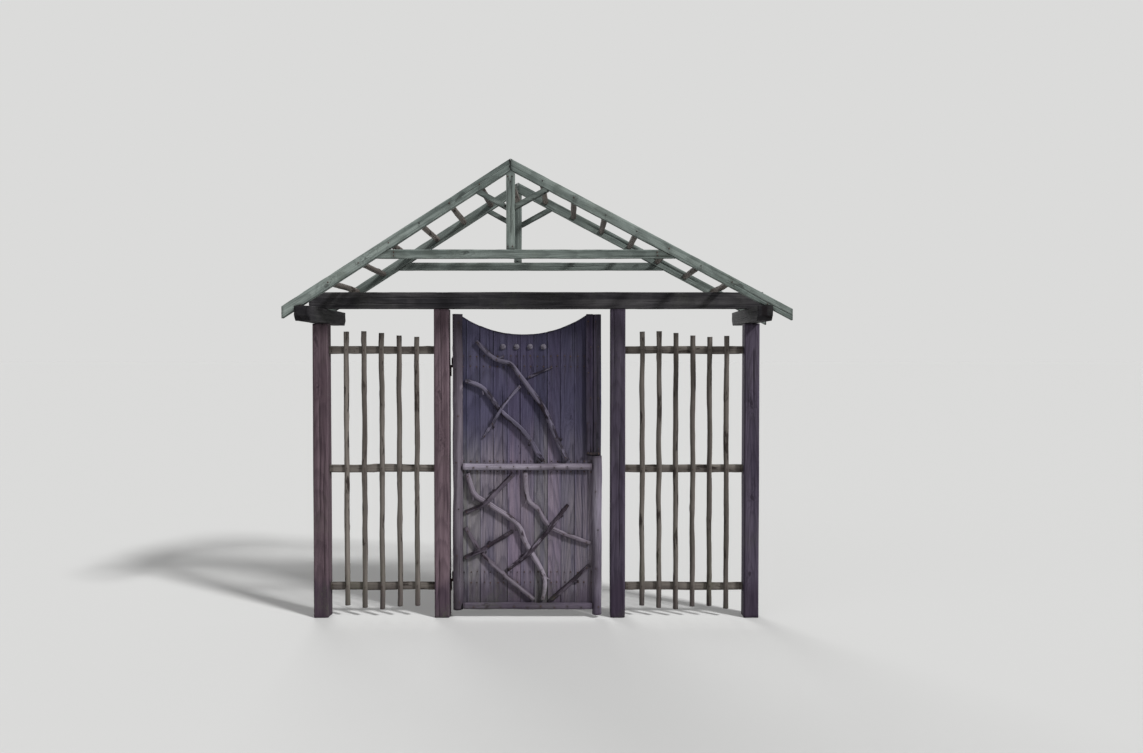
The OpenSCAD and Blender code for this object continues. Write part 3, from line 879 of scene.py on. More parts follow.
def cad_solids(node: str) -> list[Solid]:
    """Copies of a CAD node's solids, merged and with flat faces joined.

    Args:
        node: Name of the CAD node.

    Returns:
        One mesh for each solid, from low to high X, then Z.
    """
    whole = bmesh.new()
    whole.from_mesh(frame["nodes"][node].data)
    bmesh.ops.remove_doubles(whole, verts=whole.verts, dist=1e-5)
    bmesh.ops.dissolve_limit(whole, angle_limit=math.radians(1), verts=whole.verts, edges=whole.edges)
    left = set(whole.verts)
    solids = []
    while left:
        reached = {left.pop()}
        rim = set(reached)
        while rim:
            rim = {edge.other_vert(vert) for vert in rim for edge in vert.link_edges} - reached
            reached |= rim
        left -= reached
        solid = whole.copy()
        keep = {v.index for v in reached}
        bmesh.ops.delete(solid, geom=[v for v in solid.verts if v.index not in keep], context="VERTS")
        solids.append(solid)
    whole.free()
    return sorted(solids, key=lambda s: tuple(round(min(v.co[i] for v in s.verts), 4) for i in (0, 2)))


def cad_boxes(node: str) -> list[tuple[Vector, Vector]]:
    """Lowest and highest corner of each of a CAD node's solids."""
    solids = (np.array([v.co for v in solid.verts]) for solid in cad_solids(node))
    return [(Vector(places.min(0)), Vector(places.max(0))) for places in solids]


def placed(title: str, data: bpy.types.ID) -> bpy.types.Object:
    """Adds an object to the scene.

    Args:
        title: Name of the object.
        data: Its mesh, lamp or camera.

    Returns:
        The object.
    """
    made = bpy.data.objects.new(title, data)
    bpy.context.scene.collection.objects.link(made)
    return made


def joined(meshes: Iterable[Mesh], title: str) -> Mesh:
    """One mesh from several, with their grain, tone and marks kept.

    Args:
        meshes: Meshes to join, which are removed.
        title: Name of the joined mesh.

    Returns:
        The joined mesh.
    """
    whole = bmesh.new()
    for mesh in meshes:
        whole.from_mesh(mesh)
        bpy.data.meshes.remove(mesh)
    made = bpy.data.meshes.new(title)
    whole.to_mesh(made)
    whole.free()
    return made


@dataclass
class Workshop:
    """Turns meshes into pieces that ride on the frame's bodies."""

    finishes: Finishes
    pieces: dict[str, bpy.types.Object] = field(default_factory=dict)
    triangles: int = 0

    def piece(
        self, title: str, mesh: Mesh, body: Body, finish: Finish, slot: str, nodes: Iterable[str] = (),
    ) -> None:
        """Adds a finished piece to the scene.

        Args:
            title: Name of the piece.
            mesh: Its mesh, in place.
            body: Body that it rides on.
            finish: Finish that it is dressed in.
            slot: Not used.
            nodes: CAD nodes that it stands for.
        """
        mesh.materials.clear()
        mesh.materials.append(self.finishes.material(finish))
        mesh.shade_smooth()
        made = placed(title, mesh)
        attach(made, body.value)
        if nodes:
            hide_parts(*nodes)
        mesh.calc_loop_triangles()
        self.triangles += len(mesh.loop_triangles)
        for node in nodes:
            self.pieces[node] = made
        LOG.info("%s: %d triangles on %s", title, len(mesh.loop_triangles), body.value)


@dataclass(frozen=True)
class Shade:
    """How dark one timber is along its length, from 0 for its plain colour, which holds both its own tone and
    painted shade where it stood in shade, and its hue from 0 to 1.
    """

    darks: tuple[float, ...]
    hue: float

    def tint(self, rise: np.ndarray) -> np.ndarray:
        """Darkness at each share of the length, from the foot or the left end."""
        return np.interp(rise * (len(self.darks) - 1), range(len(self.darks)), self.darks)


@dataclass
class Crack:
    """One drying crack along a timber's face."""

    cut: Vector
    at: float
    face: Vector
    start: float
    end: float
    depth: float


@dataclass(frozen=True)
class Hewing:
    """Cuts a squared solid into cells and wears it like old timber.

    Its grid is a step long and a cell wide. Bow, ridge, nibble and sway move the surface, each in waves of
    its own cell, swell thickens the solid across, and a face under the narrow width stays whole.
    """

    arris: float = 4 * MM
    step: float = 22 * MM
    cell: float = 13 * MM
    bow: float = 1.2 * MM
    ridge: float = 0.5 * MM
    nibble: float = 2.5 * MM
    cracks: int = 2
    crack_depth: float = 9 * MM
    crack_half: float = 1.1 * MM
    crack_margin: float = 0.22
    crack_length: Pair = (0.12, 0.45)
    end_checks: float = 0.4
    ragged_end: float = 0.0
    pith: float = 0.4
    swell: float = 0.0
    soak_depth: float = 16 * MM
    narrow: float = 30 * MM
    sway: float = 3.5 * MM
    sway_reach: float = 9 * MM
    sway_cell: float = 0.16
    bow_cell: Triple = (0.2, 0.2, 0.45)
    ridge_cell: Triple = (7 * MM, 7 * MM, 0.22)
    nibble_cell: Triple = (0.05, 0.05, 0.07)
    fray_cell: Triple = (11 * MM, 11 * MM, 1.0)

    def mesh(self, solid: Solid, along: Vector, seed: int, shade: Shade | None = None) -> Mesh:
        """Wears one solid.

        Args:
            solid: Plain solid in place, which is used up.
            along: Direction of the grain.
            seed: Number that picks its cracks and waves.
            shade: Shade of the wood, or None for a chance one.

        Returns:
            The worn mesh with its grain, tone and marks stored.
        """
        rng = np.random.default_rng(seed)
        through = Y if abs(along.y) < 0.5 else Z
        across = along.cross(through).normalized()
        axes = (across, through, along)
        sharp = [e for e in solid.edges if e.is_convex and e.calc_face_angle(0) > math.radians(20)]
        bmesh.ops.bevel(solid, geom=sharp, offset=self.arris, segments=2, profile=0.6, affect="EDGES")
        places = np.array([v.co for v in solid.verts]) @ np.array(axes).T
        low, high = places.min(0), places.max(0)
        cracks = self.pick_cracks(rng, axes, low, high)
        for index, axis in enumerate(axes):
            spacing = self.step if index == 2 else self.cell
            count = max(int(round((high[index] - low[index]) / spacing)), 1)
            places = [low[index] + (high[index] - low[index]) * i / count for i in range(1, count)]
            own = [c.at for c in cracks if c.cut is axis]
            places = [p for p in places if all(abs(p - at) > 3.5 * self.crack_half for at in own)]
            places += [at + side * self.crack_half for at in own for side in (-1, 0, 1)]
            for at in places:
                geometry = solid.verts[:] + solid.edges[:] + solid.faces[:]
                bmesh.ops.bisect_plane(solid, geom=geometry, dist=1e-6, plane_co=axis * at, plane_no=axis)
        made, worn = self.wear(solid, axes, low, high, cracks, rng, seed)
        dark, hue = rng.uniform(0, 0.7), rng.uniform(0, 1)
        shade = shade or Shade((dark,), hue)
        arris, hollow, rise, soaked = worn.T
        # The tone's third part darkens the wood: a random tone, or a given shade that holds painted shade as
        # well.
        set_attribute(made, "tone", np.column_stack([arris, hollow, shade.tint(rise)]))
        set_attribute(made, "marks", np.column_stack([0 * rise, 0 * rise + shade.hue, soaked]))
        return made

    def pick_cracks(
        self, rng: np.random.Generator, axes: tuple[Vector, ...], low: np.ndarray, high: np.ndarray,
    ) -> list[Crack]:
        """Chooses cracks on the four long faces, clear of the arrises.

        Args:
            rng: Source of random values.
            axes: Directions across, through and along the grain.
            low: Lowest place along each axis.
            high: Highest place along each axis.

        Returns:
            The cracks.
        """
        chosen = []
        odds = (self.end_checks / 2, self.end_checks / 2, 1 - self.end_checks)
        for index, side in itertools.product((0, 1), (-1, 1)):
            width = high[index] - low[index]
            if width < self.narrow:
                continue
            margin = self.crack_margin * width
            for at in rng.uniform(low[index] + margin, high[index] - margin, self.cracks):
                if any(c.cut is axes[index] and abs(c.at - at) < 6 * self.crack_half for c in chosen):
                    continue
                length = (high[2] - low[2]) * rng.uniform(*self.crack_length)
                ends = (low[2] - 0.5 * length, high[2] - 0.5 * length)
                inner = rng.uniform(low[2] - 0.2 * length, high[2] - 0.8 * length)
                start = rng.choice((*ends, inner), p=odds)
                depth = self.crack_depth * rng.uniform(0.5, 1.0)
                face = axes[1 - index] * side
                chosen.append(Crack(axes[index], float(at), face, start, start + length, depth))
        return chosen

    def wear(
        self, solid: Solid, axes: tuple[Vector, ...], low: np.ndarray, high: np.ndarray,
        cracks: list[Crack], rng: np.random.Generator, seed: int,
    ) -> tuple[Mesh, np.ndarray]:
        """Moves the cut-up solid's points and stores its grain.

        Args:
            solid: Cut-up solid, which is used up.
            axes: Directions across, through and along the grain.
            low: Lowest place along each axis.
            high: Highest place along each axis.
            cracks: Cracks to open.
            rng: Source of random values.
            seed: Number that picks the waves.

        Returns:
            The worn mesh, and the wear, hollow, share of the length and soaking of each point.
        """
        solid.normal_update()
        place = np.array([v.co for v in solid.verts])
        normal = np.array([v.normal for v in solid.verts])
        local = place @ np.array(axes).T
        gaps = np.sort(np.hstack([local - low, high - local]), axis=1)
        arris = 1 - ramp(gaps[:, 1], 0.4 * self.arris, 2.2 * self.arris)
        shift = self.bow * (soft_noise(local / self.bow_cell, seed) - 0.6)
        shift += self.ridge * (soft_noise(local / self.ridge_cell, seed + 1) - 0.5)
        shift -= self.nibble * arris * ramp(soft_noise(local / self.nibble_cell, seed + 2), 0.0, 0.9)
        shift += self.swell * np.abs(normal @ np.array(axes[0]))
        hollow = np.zeros(len(place))
        drift = np.zeros_like(place)
        for crack in cracks:
            cut, face = np.array(crack.cut), np.array(crack.face)
            offset = place @ cut - crack.at
            share = (local[:, 2] - crack.start) / (crack.end - crack.start)
            depth = crack.depth * np.sqrt(np.clip(np.sin(math.pi * np.clip(share, 0, 1)), 0, 1))
            facing = normal @ face > 0.8
            core = (np.abs(offset) < 0.3 * self.crack_half) & facing
            shift -= np.where(core, depth, 0)
            hollow = np.maximum(hollow, np.where(core, ramp(depth, 0, 0.3 * crack.depth), 0))
            waves = np.column_stack([local[:, 2] / self.sway_cell, 0 * share, 0 * share])
            sway = self.sway * soft_noise(waves, seed + 5)
            near = (1 - ramp(np.abs(offset), 1.5 * self.crack_half, self.sway_reach)) * facing
            drift += np.outer(sway * near, cut)
        place = place + normal * shift[:, None] + drift
        if self.ragged_end:
            fray = soft_noise(local / self.fray_cell, seed + 7) * 0.5 + 0.5
            foot = 1 - ramp(local[:, 2] - low[2], 0, 12 * self.ragged_end)
            place += np.outer(self.ragged_end * fray * foot, np.array(axes[2]))
        half = (high - low) / 2
        pith = (low + half)[:2] + rng.uniform(-self.pith, self.pith, 2) * half[:2] * 2
        grain = local - np.array([pith[0], pith[1], 0]) + np.array([0, 0, rng.uniform(0, 40)])
        for vert, spot in zip(solid.verts, place):
            vert.co = spot
        made = bpy.data.meshes.new("worn")
        solid.to_mesh(made)
        solid.free()
        set_attribute(made, "grain", grain)
        rise = (local[:, 2] - low[2]) / (high[2] - low[2])
        return made, np.column_stack([arris, hollow, rise, self.soaking(local, normal @ np.array(axes[2]))])

    def soaking(self, local: np.ndarray, slope: np.ndarray) -> np.ndarray:
        """How far water has soaked in from the sawn ends, from 1 on an end to 0.

        Args:
            local: Places of the points.
            slope: How far each point faces along the grain.

        Returns:
            One value a point.
        """
        ends = local[np.abs(slope) > 0.35]
        if not len(ends):
            return np.zeros(len(local))
        gap = np.linalg.norm(local[:, None] - ends[None], axis=2).min(1)
        return np.exp(-gap / self.soak_depth)


@dataclass
class Pole:
    """One round piece of wood: its line, its girth, the planes that flatten it and how dark it is."""

    line: list[Vector]
    girth: list[float]
    seed: int
    dark: list[float] | float
    low: list[float] | float = -FAR
    high: list[float] | float = FAR

    def column(self, name: str) -> list[float]:
        """Value at each point of a setting that may be the same all along."""
        given = getattr(self, name)
        return list(given) if isinstance(given, list) else [given] * len(self.line)


@dataclass(frozen=True)
class Straying:
    """How a straight pole strays from its line and thins out."""

    gap: float = 0.16
    aside: float = 2.5 * MM
    taper: Pair = (0.9, 0.98)
    loose_ends: bool = False

    def pole(self, low: Vector, high: Vector, seed: int, flat: int, shade: Shade | None = None) -> Pole:
        """One pole that fills a box.

        Args:
            low: Lowest corner of the box.
            high: Highest corner of the box.
            seed: Number that picks its bends.
            flat: 1 where the back is flattened, -1 where the front is, and 0 for a whole pole.
            shade: Shade of the wood, or None for a chance one.

        Returns:
            The pole.
        """
        size, middle = high - low, (low + high) / 2
        axis = max(range(3), key=lambda i: size[i])
        side = 0 if axis == 2 else 2
        girth = size[side] / 2
        if flat:
            middle.y = low.y + girth if flat > 0 else high.y - girth
        count = max(int(size[axis] / self.gap), 4)
        rng = np.random.default_rng(seed)
        line, girths = [], []
        for i in range(count + 1):
            spot = middle.copy()
            spot[axis] = low[axis] + size[axis] * i / count
            if self.loose_ends or 0 < i < count:
                spot[side] += rng.uniform(-self.aside, self.aside)
            line.append(spot)
            girths.append(girth * rng.uniform(*self.taper))
        dark = list(shade.tint(np.linspace(0, 1, count + 1))) if shade else rng.uniform(0, 1)
        planes = {"low": low.y if flat < 0 else -FAR, "high": high.y if flat > 0 else FAR}
        return Pole(line, girths, seed, dark, **planes)


@dataclass(frozen=True)
class PoleTurning:
    """Makes rustic poles with Geometry Nodes: swept, lumpy, knotted and flattened where they seat."""

    sides: int = 16
    step: float = 8 * MM
    lump: float = 1.5 * MM
    ridge: float = 0.5 * MM
    knot_height: float = 2.5 * MM
    knot_gap: float = 0.16
    bark: float = 0.0
    peeled: float = 0.6

    def tree(self) -> bpy.types.NodeTree:
        """Builds the node tree that turns lines into poles on first use.

        Returns:
            The node tree.
        """
        found = bpy.data.node_groups.get("Rustic poles")
        if found:
            return found
        tree = bpy.data.node_groups.new("Rustic poles", "GeometryNodeTree")
        w = Wiring(tree)
        w.socket("Lines", "Geometry")
        w.socket("Sides", "Int")
        for name in ("Step", "Lump", "Ridge", "Knot height", "Knot gap", "Bark", "Peeled"):
            w.socket(name, "Float")
        w.socket("Finish", "Material")
        w.socket("Poles", "Geometry", "OUTPUT")
        given = w.node("NodeGroupInput").outputs

        def stored(name: str, kind: str = "FLOAT") -> Socket:
            """Attribute that the geometry carries."""
            return w.node("GeometryNodeInputNamedAttribute", {0: name}, data_type=kind).outputs[0]

        def store(
            shape: Socket, name: str, value: Feed, kind: str = "FLOAT", where: Feed = True,
        ) -> Socket:
            """Geometry with one more attribute on its points."""
            feeds, title = {0: shape, 1: where, 2: name, 3: value}, "GeometryNodeStoreNamedAttribute"
            return w.node(title, feeds, data_type=kind, domain="POINT").outputs[0]

        def inset(shape: Socket, share: float) -> Socket:
            """Draws a ring in on each sawn end, so that the end grain has points to follow.

            Args:
                shape: Geometry of the poles.
                share: Size of the ring as a share of the last one.

            Returns:
                The geometry with its new ring.
            """
            corners_met = w.node("GeometryNodeInputMeshFaceNeighbors").outputs["Vertex Count"]
            settings = {"data_type": "INT", "operation": "GREATER_THAN"}
            sawn = w.node("FunctionNodeCompare", {2: corners_met, 3: 4}, **settings).outputs[0]
            drawn = w.node("GeometryNodeExtrudeMesh", {0: shape, 1: sawn, 3: 0.0}, mode="FACES").outputs
            feeds = {0: drawn["Mesh"], 1: drawn["Top"], 2: share}
            shape = w.node("GeometryNodeScaleElements", feeds, domain="FACE").outputs[0]
            inner = w.vector("MULTIPLY", stored("grain", "FLOAT_VECTOR"), (share, share, 1.0))
            shape = store(shape, "grain", inner, "FLOAT_VECTOR", drawn["Top"])
            return store(shape, "marks", w.join(0.0, 0.0, 1.0), "FLOAT_VECTOR", drawn["Top"])

        curve = w.node("GeometryNodeMeshToCurve", {0: given["Lines"]}).outputs[0]
        curve = w.node("GeometryNodeCurveSplineType", {0: curve}, spline_type="CATMULL_ROM").outputs[0]
        curve = w.node("GeometryNodeResampleCurve", {0: curve, 3: given["Step"]}, mode="LENGTH").outputs[0]
        run = w.node("GeometryNodeSplineParameter").outputs["Length"]
        rest = w.calc("SUBTRACT", w.node("GeometryNodeSplineLength").outputs["Length"], run)
        curve = store(curve, "along", run)
        curve = store(curve, "soak", w.span(w.calc("MINIMUM", run, rest), 0.03, 0.0, 0.0, 0.8))
        rim = w.node("GeometryNodeCurvePrimitiveCircle", {0: given["Sides"], 4: 1.0}).outputs[0]
        rim = store(rim, "rim", w.node("GeometryNodeInputPosition").outputs[0], "FLOAT_VECTOR")
        feeds = {0: curve, 1: rim, 2: stored("girth"), 3: True}
        mesh = w.node("GeometryNodeCurveToMesh", feeds).outputs[0]
        mesh = w.node("GeometryNodeSetShadeSmooth", {0: mesh}).outputs[0]
        girth = stored("girth")
        rim_x, rim_y, _ = w.split(stored("rim", "FLOAT_VECTOR"))
        length = w.line(stored("seed"), 3.7, stored("along"))
        grain = w.join(w.times(rim_x, girth), w.times(rim_y, girth), length)
        mesh = store(mesh, "grain", grain, "FLOAT_VECTOR")
        spot = stored("grain", "FLOAT_VECTOR")
        lump = w.calc("SUBTRACT", w.noise(spot, (26, 26, 7), detail=2), 0.5)
        ridge = w.calc("SUBTRACT", w.noise(spot, (190, 190, 6), detail=2), 0.5)
        scaled = w.vector("DIVIDE", spot, w.join(given["Knot gap"], given["Knot gap"], given["Knot gap"]))
        cells = w.node("ShaderNodeTexVoronoi", {0: scaled, 2: 1.0, 8: 1.0}).outputs
        knot = w.span(cells["Distance"], 0.24, 0.05)
        rise = w.times(w.times(lump, given["Lump"]), 4.0)
        rise = w.line(w.times(ridge, given["Ridge"]), 3.0, rise)
        rise = w.line(knot, given["Knot height"], rise)
        level = w.line(given["Peeled"], -0.5, 0.72)
        patch = w.calc("ADD", w.noise(spot, BARK_PATCHES, detail=3, rough=0.55), 0.06)
        left = w.span(patch, w.calc("ADD", level, 0.05), w.calc("ADD", level, 0.01))
        push = w.vector("SCALE", w.node("GeometryNodeInputNormal").outputs[0])
        w.tree.links.new(w.line(left, given["Bark"], rise), push.node.inputs["Scale"])
        mesh = w.node("GeometryNodeSetPosition", {0: mesh, 3: push}).outputs[0]
        place_x, place_y, place_z = w.split(w.node("GeometryNodeInputPosition").outputs[0])
        kept_y = w.calc("MINIMUM", w.calc("MAXIMUM", place_y, stored("low")), stored("high"))
        mesh = w.node("GeometryNodeSetPosition", {0: mesh, 2: w.join(place_x, kept_y, place_z)}).outputs[0]
        core = w.span(cells["Distance"], 0.09, 0.03, 0.0, 0.55)
        # Each pole's darkness goes into the tone: its own tone, with painted shade where its shade or branch
        # gives it.
        tone = w.join(w.span(rise, 0.0, 3 * MM), core, stored("dark"))
        mesh = store(mesh, "tone", tone, "FLOAT_VECTOR")
        mesh = store(mesh, "marks", w.join(0.0, 0.0, stored("soak")), "FLOAT_VECTOR")
        for share in (0.8, 0.7, 0.5):
            mesh = inset(mesh, share)
        mesh = w.node("GeometryNodeRealizeInstances", {0: mesh}).outputs[0]
        mesh = w.node("GeometryNodeSetMaterial", {0: mesh, 2: given["Finish"]}).outputs[0]
        w.node("NodeGroupOutput", {0: mesh})
        return tree

    def mesh(self, title: str, poles: list[Pole], finish: Material) -> Mesh:
        """Turns poles into one plain mesh.

        Args:
            title: Name of the mesh.
            poles: The poles.
            finish: Material that the tree sets.

        Returns:
            The mesh, with its grain and tone stored.
        """
        points, edges = [], []
        for pole in poles:
            first = len(points)
            points += pole.line
            edges += [(first + i, first + i + 1) for i in range(len(pole.line) - 1)]
        lines = bpy.data.meshes.new(title)
        lines.from_pydata(points, edges, [])
        for name in ("girth", "seed", "dark", "low", "high"):
            values = [float(value) for pole in poles for value in pole.column(name)]
            lines.attributes.new(name, "FLOAT", "POINT").data.foreach_set("value", values)
        inputs = {name.replace("_", " ").capitalize(): value for name, value in vars(self).items()}
        return grown(title, lines, self.tree(), {**inputs, "Finish": finish})


def grown(title: str, seed_mesh: Mesh, tree: bpy.types.NodeTree, inputs: dict[str, Feed]) -> Mesh:
    """Runs a Geometry Nodes tree on a mesh and keeps the result as a plain mesh.

    Args:
        title: Name of the result.
        seed_mesh: Mesh that the tree starts from, which is removed.
        tree: The node tree.
        inputs: Value for each named input.

    Returns:
        The plain mesh.
    """
    carrier = placed(title, seed_mesh)
    modifier = carrier.modifiers.new("Grow", "NODES")
    modifier.node_group = tree
    for item in tree.interface.items_tree:
        if item.item_type == "SOCKET" and item.in_out == "INPUT" and item.name in inputs:
            modifier[item.identifier] = inputs[item.name]
    graph = bpy.context.evaluated_depsgraph_get()
    result = carrier.evaluated_get(graph)
    made = bpy.data.meshes.new_from_object(result, preserve_all_data_layers=True, depsgraph=graph)
    made.name = title
    carrier.modifiers.remove(modifier)
    bpy.data.objects.remove(carrier)
    bpy.data.meshes.remove(seed_mesh)
    return made


@dataclass
class Nail:
    """One nail or bolt head: where it sits, which way it faces and the CAD node that it is driven into."""

    place: Vector
    facing: Vector
    width: float
    node: str


@dataclass(frozen=True)
class NailSet:
    """Sets domed iron heads at their places with Geometry Nodes."""

    seed: int

    def tree(self) -> bpy.types.NodeTree:
        """Builds the node tree that sets heads on points on first use.

        Returns:
            The node tree.
        """
        found = bpy.data.node_groups.get("Iron heads")
        if found:
            return found
        tree = bpy.data.node_groups.new("Iron heads", "GeometryNodeTree")
        w = Wiring(tree)
        w.socket("Places", "Geometry")
        w.socket("Seed", "Int")
        w.socket("Finish", "Material")
        w.socket("Heads", "Geometry", "OUTPUT")
        given = w.node("NodeGroupInput").outputs
        dome = w.node("GeometryNodeMeshUVSphere", {0: 12, 1: 6, 2: 0.5}).outputs[0]
        dome = w.node("GeometryNodeTransform", {0: dome, 3: (1.0, 1.0, 0.42)}).outputs[0]
        stored, chance = "GeometryNodeInputNamedAttribute", "FunctionNodeRandomValue"
        facing = w.node(stored, {0: "facing"}, data_type="FLOAT_VECTOR").outputs[0]
        width = w.node(stored, {0: "width"}, data_type="FLOAT").outputs[0]
        feeds = {0: (-0.18, -0.18, -0.18), 1: (0.18, 0.18, 0.18), 8: given["Seed"]}
        tilt = w.node(chance, feeds, data_type="FLOAT_VECTOR").outputs[0]
        lean = w.vector("ADD", facing, tilt)
        turned = w.node("FunctionNodeAlignRotationToVector", {2: lean}, axis="Z").outputs[0]
        vary = w.node(chance, {2: 0.82, 3: 1.12, 8: given["Seed"]}, data_type="FLOAT").outputs[1]
        size = w.times(width, vary)
        feeds = {0: given["Places"], 2: dome, 5: turned, 6: w.join(size, size, size)}
        heads = w.node("GeometryNodeInstanceOnPoints", feeds).outputs[0]
        heads = w.node("GeometryNodeRealizeInstances", {0: heads}).outputs[0]
        heads = w.node("GeometryNodeSetShadeSmooth", {0: heads}).outputs[0]
        heads = w.node("GeometryNodeSetMaterial", {0: heads, 2: given["Finish"]}).outputs[0]
        w.node("NodeGroupOutput", {0: heads})
        return tree

    def mesh(self, title: str, nails: list[Nail], finish: Material) -> Mesh:
        """Sets the heads of a list of nails.

        Args:
            title: Name of the mesh.
            nails: The nails.
            finish: Material that the tree sets.

        Returns:
            One plain mesh with all heads.
        """
        places = bpy.data.meshes.new(title)
        places.from_pydata([nail.place for nail in nails], [], [])
        set_attribute(places, "facing", np.array([nail.facing for nail in nails]))
        widths = places.attributes.new("width", "FLOAT", "POINT")
        widths.data.foreach_set("value", [nail.width for nail in nails])
        return grown(title, places, self.tree(), {"Seed": self.seed, "Finish": finish})


@dataclass
class Nailing:
    """Drives nails into the dressed pieces of one body and stains the wood below them."""

    shop: Workshop
    body: Body
    nails: list[Nail] = field(default_factory=list)
    run_width: float = 8 * MM
    run_length: float = 110 * MM

    def __post_init__(self) -> None:
        """Prepares each piece's surface for finding where a nail meets it."""
        self.surfaces: dict[str, BVHTree] = {}
        for node, piece in self.shop.pieces.items():
            if piece.parent == frame["bodies"][self.body.value]:
                places = [v.co for v in piece.data.vertices]
                faces = [tuple(f.vertices) for f in piece.data.polygons]
                self.surfaces[node] = BVHTree.FromPolygons(places, faces)

    def drive(self, start: Vector, way: Vector, width: float, onto: Iterable[str]) -> bool:
        """Drives a nail where a straight line first meets a piece.

        Args:
            start: Point outside the wood.
            way: Direction in which the nail is driven.
            width: Width of its head.
            onto: Nodes whose wood may take it.

        Returns:
            Whether it met one of those nodes first.
        """
        hits = [(surface.ray_cast(start, way), node) for node, surface in self.surfaces.items()]
        hits = [(hit, node) for hit, node in hits if hit[0] is not None]
        if not hits:
            return False
        (place, facing, _, _), node = min(hits, key=lambda found: found[0][3])
        if node not in onto:
            return False
        lean = (facing - 2 * way).normalized()
        self.nails.append(Nail(place + 0.06 * width * lean, lean, width, node))
        return True

    def stain(self) -> None:
        """Marks the runs of rust below each head on the pieces' points."""
        for node in {nail.node for nail in self.nails}:
            mesh = self.shop.pieces[node].data
            spots = np.empty(len(mesh.vertices) * 3)
            mesh.vertices.foreach_get("co", spots)
            spots = spots.reshape(-1, 3)
            marks = stored_vectors(mesh, "marks")
            for nail in (n for n in self.nails if n.node == node):
                gap = spots - np.array(nail.place)
                aside = np.hypot(gap[:, 0], gap[:, 1] * 0.5)
                over, under = gap[:, 2] / self.run_width, -1.6 * gap[:, 2] / self.run_length
                fading = np.where(gap[:, 2] > 0, over ** 2, under)
                strength = np.exp(-((aside / self.run_width) ** 2) - fading)
                marks[:, 0] = np.maximum(marks[:, 0], strength)
            set_attribute(mesh, "marks", marks)

    def finish(self, title: str, slot: str, seed: int) -> None:
        """Adds all heads as one piece.

        Args:
            title: Name of the piece.
            slot: Material slot of the record.
            seed: Number that picks how the heads lean.
        """
        self.stain()
        iron = self.shop.finishes.iron
        mesh = NailSet(seed).mesh(title, self.nails, self.shop.finishes.material(iron))
        self.shop.piece(title, mesh, self.body, iron, slot)
        LOG.info("%s: %d heads", title, len(self.nails))


@dataclass
class SquaredTimbers:
    """Posts, beams and roof timbers of the arbour."""

    shop: Workshop
    post: Hewing = Hewing(arris=3 * MM, pith=0.12)
    beam: Hewing = Hewing(arris=5 * MM, pith=0.15)
    rake: Hewing = Hewing(cell=11 * MM, cracks=1, crack_depth=6 * MM)

    def build(self) -> None:
        """Wears each timber of the arbour."""
        finishes = self.shop.finishes
        posts = (
            ("hinge_post", finishes.gate_post), ("latch_post", finishes.shaded_post),
            ("outer_post_left", finishes.gate_post), ("outer_post_right", finishes.shaded_post),
        )
        for seed, (node, finish) in enumerate(posts):
            self.timber(node, Z, self.post, finish, "post_timber", 100 + seed)
        for seed, (node, along) in enumerate((("cross_arm_left", Y), ("cross_arm_right", Y), ("header", X))):
            self.timber(node, along, self.beam, finishes.beams, "header_timber", 120 + seed)
        for seed, (row, side) in enumerate(itertools.product(("front", "rear"), ("left", "right"))):
            node = f"{row}_rafter_{side}"
            self.timber(node, self.slope(node), self.rake, finishes.rafters, "roof_timber", 140 + seed)
        for seed, row in enumerate(("front", "rear")):
            for name, along, first in (("collar_tie", X, 150), ("king_post", Z, 160), ("struts", X, 170)):
                self.timber(f"{row}_{name}", along, self.rake, finishes.rafters, "roof_timber", first + seed)

    def slope(self, node: str) -> Vector:
        """Direction of a rafter, worked out from its longest edge.

        Args:
            node: CAD node of the rafter.

        Returns:
            Direction from its tail to the ridge.
        """
        mesh = frame["nodes"][node].data
        runs = [mesh.vertices[a].co - mesh.vertices[b].co for a, b in (edge.vertices for edge in mesh.edges)]
        longest = max((run for run in runs if abs(run.y) < MM), key=lambda run: run.length).normalized()
        return longest if longest.z > 0 else -longest

    def timber(
        self, node: str, along: Vector, hewing: Hewing, finish: WeatheredWood, slot: str, seed: int,
    ) -> None:
        """Wears one node's solids and adds them as a piece."""
        meshes = [hewing.mesh(solid, along, seed + 7 * i) for i, solid in enumerate(cad_solids(node))]
        self.shop.piece(f"worn_{node}", joined(meshes, node), Body.ARBOUR, finish, slot, [node])


@dataclass
class RoundTimbers:
    """Ridge pole, roof rungs and the split poles of the wings."""

    shop: Workshop
    turning: PoleTurning = PoleTurning(sides=14, step=14 * MM, bark=0.6 * MM, peeled=0.62)
    straying: Straying = Straying()

    def build(self) -> None:
        """Makes each round timber of the arbour."""
        for seed, node in enumerate(("ridge_pole", "roof_rungs")):
            self.poles(node, 200 + 30 * seed, flat=0)
        for seed, side in enumerate(("left", "right")):
            self.poles(f"trellis_rails_{side}", 300 + 30 * seed, flat=-1)
            self.poles(f"trellis_stakes_{side}", 400 + 30 * seed, flat=1)

    def poles(self, node: str, seed: int, flat: int) -> None:
        """Makes the poles of one node.

        Args:
            node: CAD node that they stand for.
            seed: Number that picks their lumps and bends.
            flat: 1 where the back is flattened, -1 where the front is, and 0 for a whole pole.
        """
        boxes = enumerate(cad_boxes(node))
        poles = [self.straying.pole(*box, seed + i, flat) for i, box in boxes]
        finish = self.shop.finishes.pole
        mesh = self.turning.mesh(node, poles, self.shop.finishes.material(finish))
        self.shop.piece(f"rustic_{node}", mesh, Body.ARBOUR, finish, "trellis_pole", [node])


